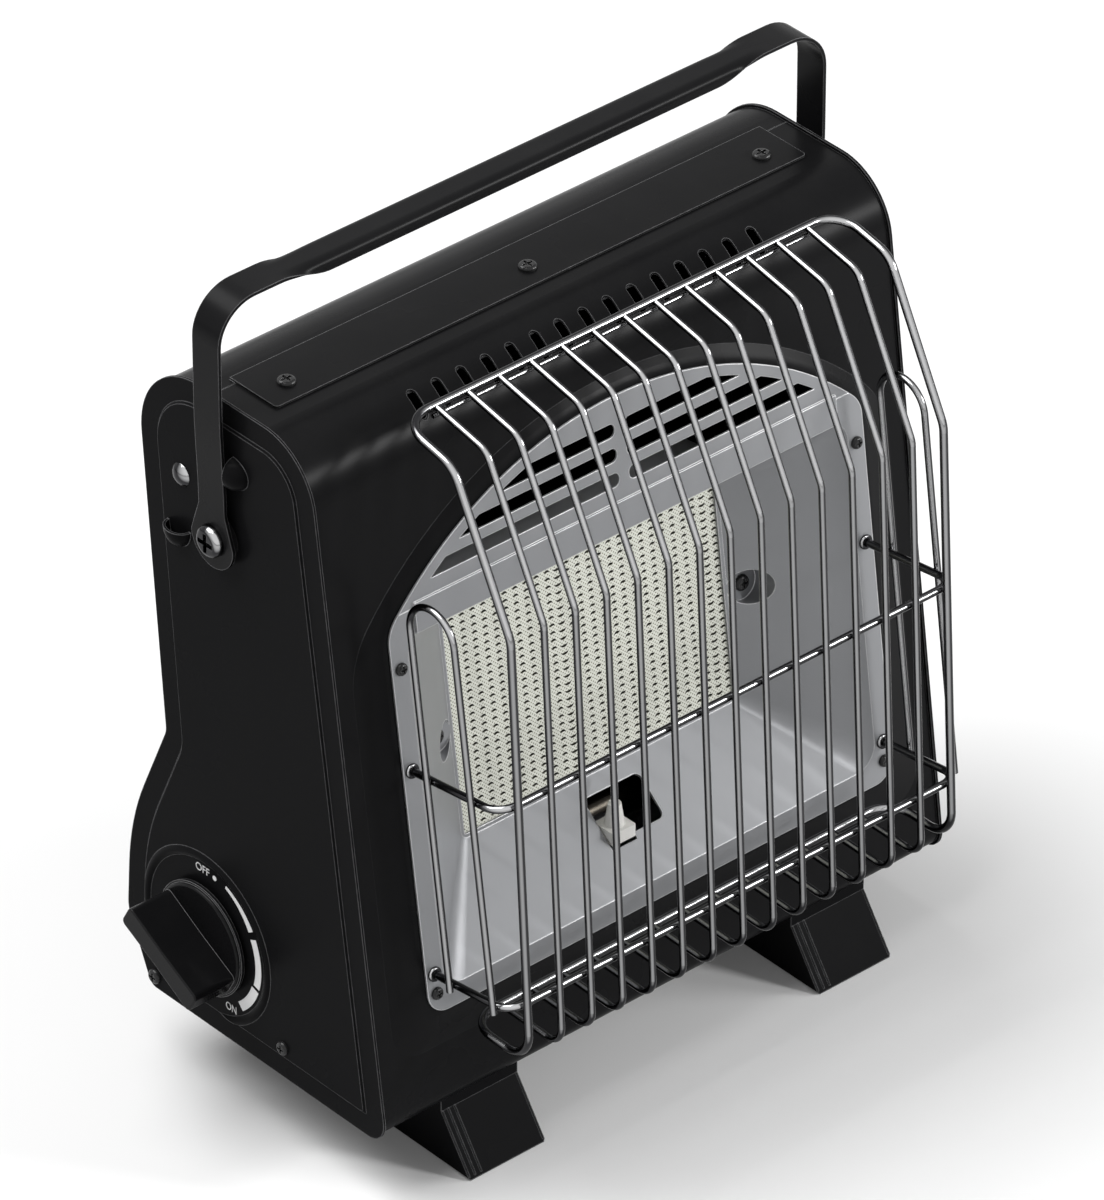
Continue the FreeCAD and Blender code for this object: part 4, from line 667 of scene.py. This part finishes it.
# In metres and watts, but the camera's lens and sensor in mm, and its spot in mm from the drawing origin
studio = {"floorSize": 6.0, "floorCells": 8, "floorDrop": 0.0002, "floorGrey": 0.82, "floorRough": 0.9,
          "floorGlow": 0.05, "worldGrey": 0.22}
view = {"spot": (-2007.2, -2218.9, 2244.8), "look": (0.5447, 0.6186, -0.5664), "lens": 330.0,
        "sensor": 36.0, "near": 0.1, "far": 30.0}
lamps = {
    "keyBehindLeft": {"spot": (-0.6, 0.7, 1.9), "target": (0, 0, 0.1), "size": (1.6, 1.6), "power": 51.0},
    "rightSoftbox": {"spot": (1.04, -1.44, 1.02), "target": (0, 0, 0.2), "size": (0.3, 0.4), "power": 17.0},
    "frontFill": {"spot": (1.6, -1.0, 0.7), "target": (0, 0, 0.15), "size": (0.7, 0.7), "power": 14.0},
}


def makeFloor():
    bm = bmesh.new()
    cells = studio["floorCells"]
    bmesh.ops.create_grid(bm, x_segments=cells, y_segments=cells, size=studio["floorSize"])
    bmesh.ops.translate(bm, verts=bm.verts, vec=(0, 0, -studio["floorDrop"]))
    mesh = bpy.data.meshes.new("floor")
    bm.to_mesh(mesh)
    bm.free()
    floor = bpy.data.objects.new("floor", mesh)
    bpy.context.scene.collection.objects.link(floor)
    material = bpy.data.materials.new("studioFloor")
    material.use_nodes = True
    tree = material.node_tree
    shader = tree.nodes["Principled BSDF"]
    shader.inputs["Base Color"].default_value = (studio["floorGrey"],) * 3 + (1,)
    shader.inputs["Roughness"].default_value = studio["floorRough"]
    shader.inputs["Specular IOR Level"].default_value = 0.0
    glow = addNode(tree, "ShaderNodeEmission", in_Strength=studio["floorGlow"])
    both = addNode(tree, "ShaderNodeAddShader")
    rays = addNode(tree, "ShaderNodeLightPath")
    pick = addNode(tree, "ShaderNodeMixShader")
    output = tree.nodes["Material Output"]
    link = tree.links.new
    link(shader.outputs[0], both.inputs[0])
    link(glow.outputs[0], both.inputs[1])
    link(rays.outputs["Is Camera Ray"], pick.inputs[0])
    link(shader.outputs[0], pick.inputs[1])
    link(both.outputs[0], pick.inputs[2])
    link(pick.outputs[0], output.inputs["Surface"])
    mesh.materials.append(material)


def makeWorld():
    # White where the camera, a reflection or glass sees it, worldGrey as light on the object
    world = bpy.data.worlds.new("studio")
    bpy.context.scene.world = world
    world.use_nodes = True
    tree = world.node_tree
    back = tree.nodes["Background"]
    back.inputs["Color"].default_value = (1, 1, 1, 1)
    rays = addNode(tree, "ShaderNodeLightPath")
    seen = addNode(tree, "ShaderNodeMath", operation="ADD", use_clamp=True)
    seenToo = addNode(tree, "ShaderNodeMath", operation="ADD", use_clamp=True)
    level = addNode(tree, "ShaderNodeMapRange", in_1=0.0, in_2=1.0, in_3=studio["worldGrey"], in_4=1.0)
    link = tree.links.new
    link(rays.outputs["Is Camera Ray"], seen.inputs[0])
    link(rays.outputs["Is Glossy Ray"], seen.inputs[1])
    link(seen.outputs[0], seenToo.inputs[0])
    link(rays.outputs["Is Transmission Ray"], seenToo.inputs[1])
    link(seenToo.outputs[0], level.inputs["Value"])
    link(level.outputs["Result"], back.inputs["Strength"])


def makeCamera():
    camera = bpy.data.cameras.new("photoCamera")
    camera.lens = view["lens"]
    camera.sensor_width = view["sensor"]
    camera.clip_start = view["near"]
    camera.clip_end = view["far"]
    item = bpy.data.objects.new("photoCamera", camera)
    item.location = place(*view["spot"])
    item.rotation_euler = Vector(view["look"]).to_track_quat("-Z", "Y").to_euler()
    bpy.context.scene.collection.objects.link(item)
    bpy.context.scene.camera = item


def addLamp(name, spot, target, size, power):
    light = bpy.data.lights.new(name, "AREA")
    light.shape = "RECTANGLE"
    light.size, light.size_y = size
    light.energy = power
    lamp = bpy.data.objects.new(name, light)
    lamp.location = spot
    lamp.rotation_euler = (Vector(target) - Vector(spot)).to_track_quat("-Z", "Y").to_euler()
    bpy.context.scene.collection.objects.link(lamp)


makeFloor()
makeWorld()
makeCamera()
for lampName, lampPlan in lamps.items():
    addLamp(lampName, **lampPlan)
bpy.context.scene.view_settings.view_transform = "Standard"
print("studio set")
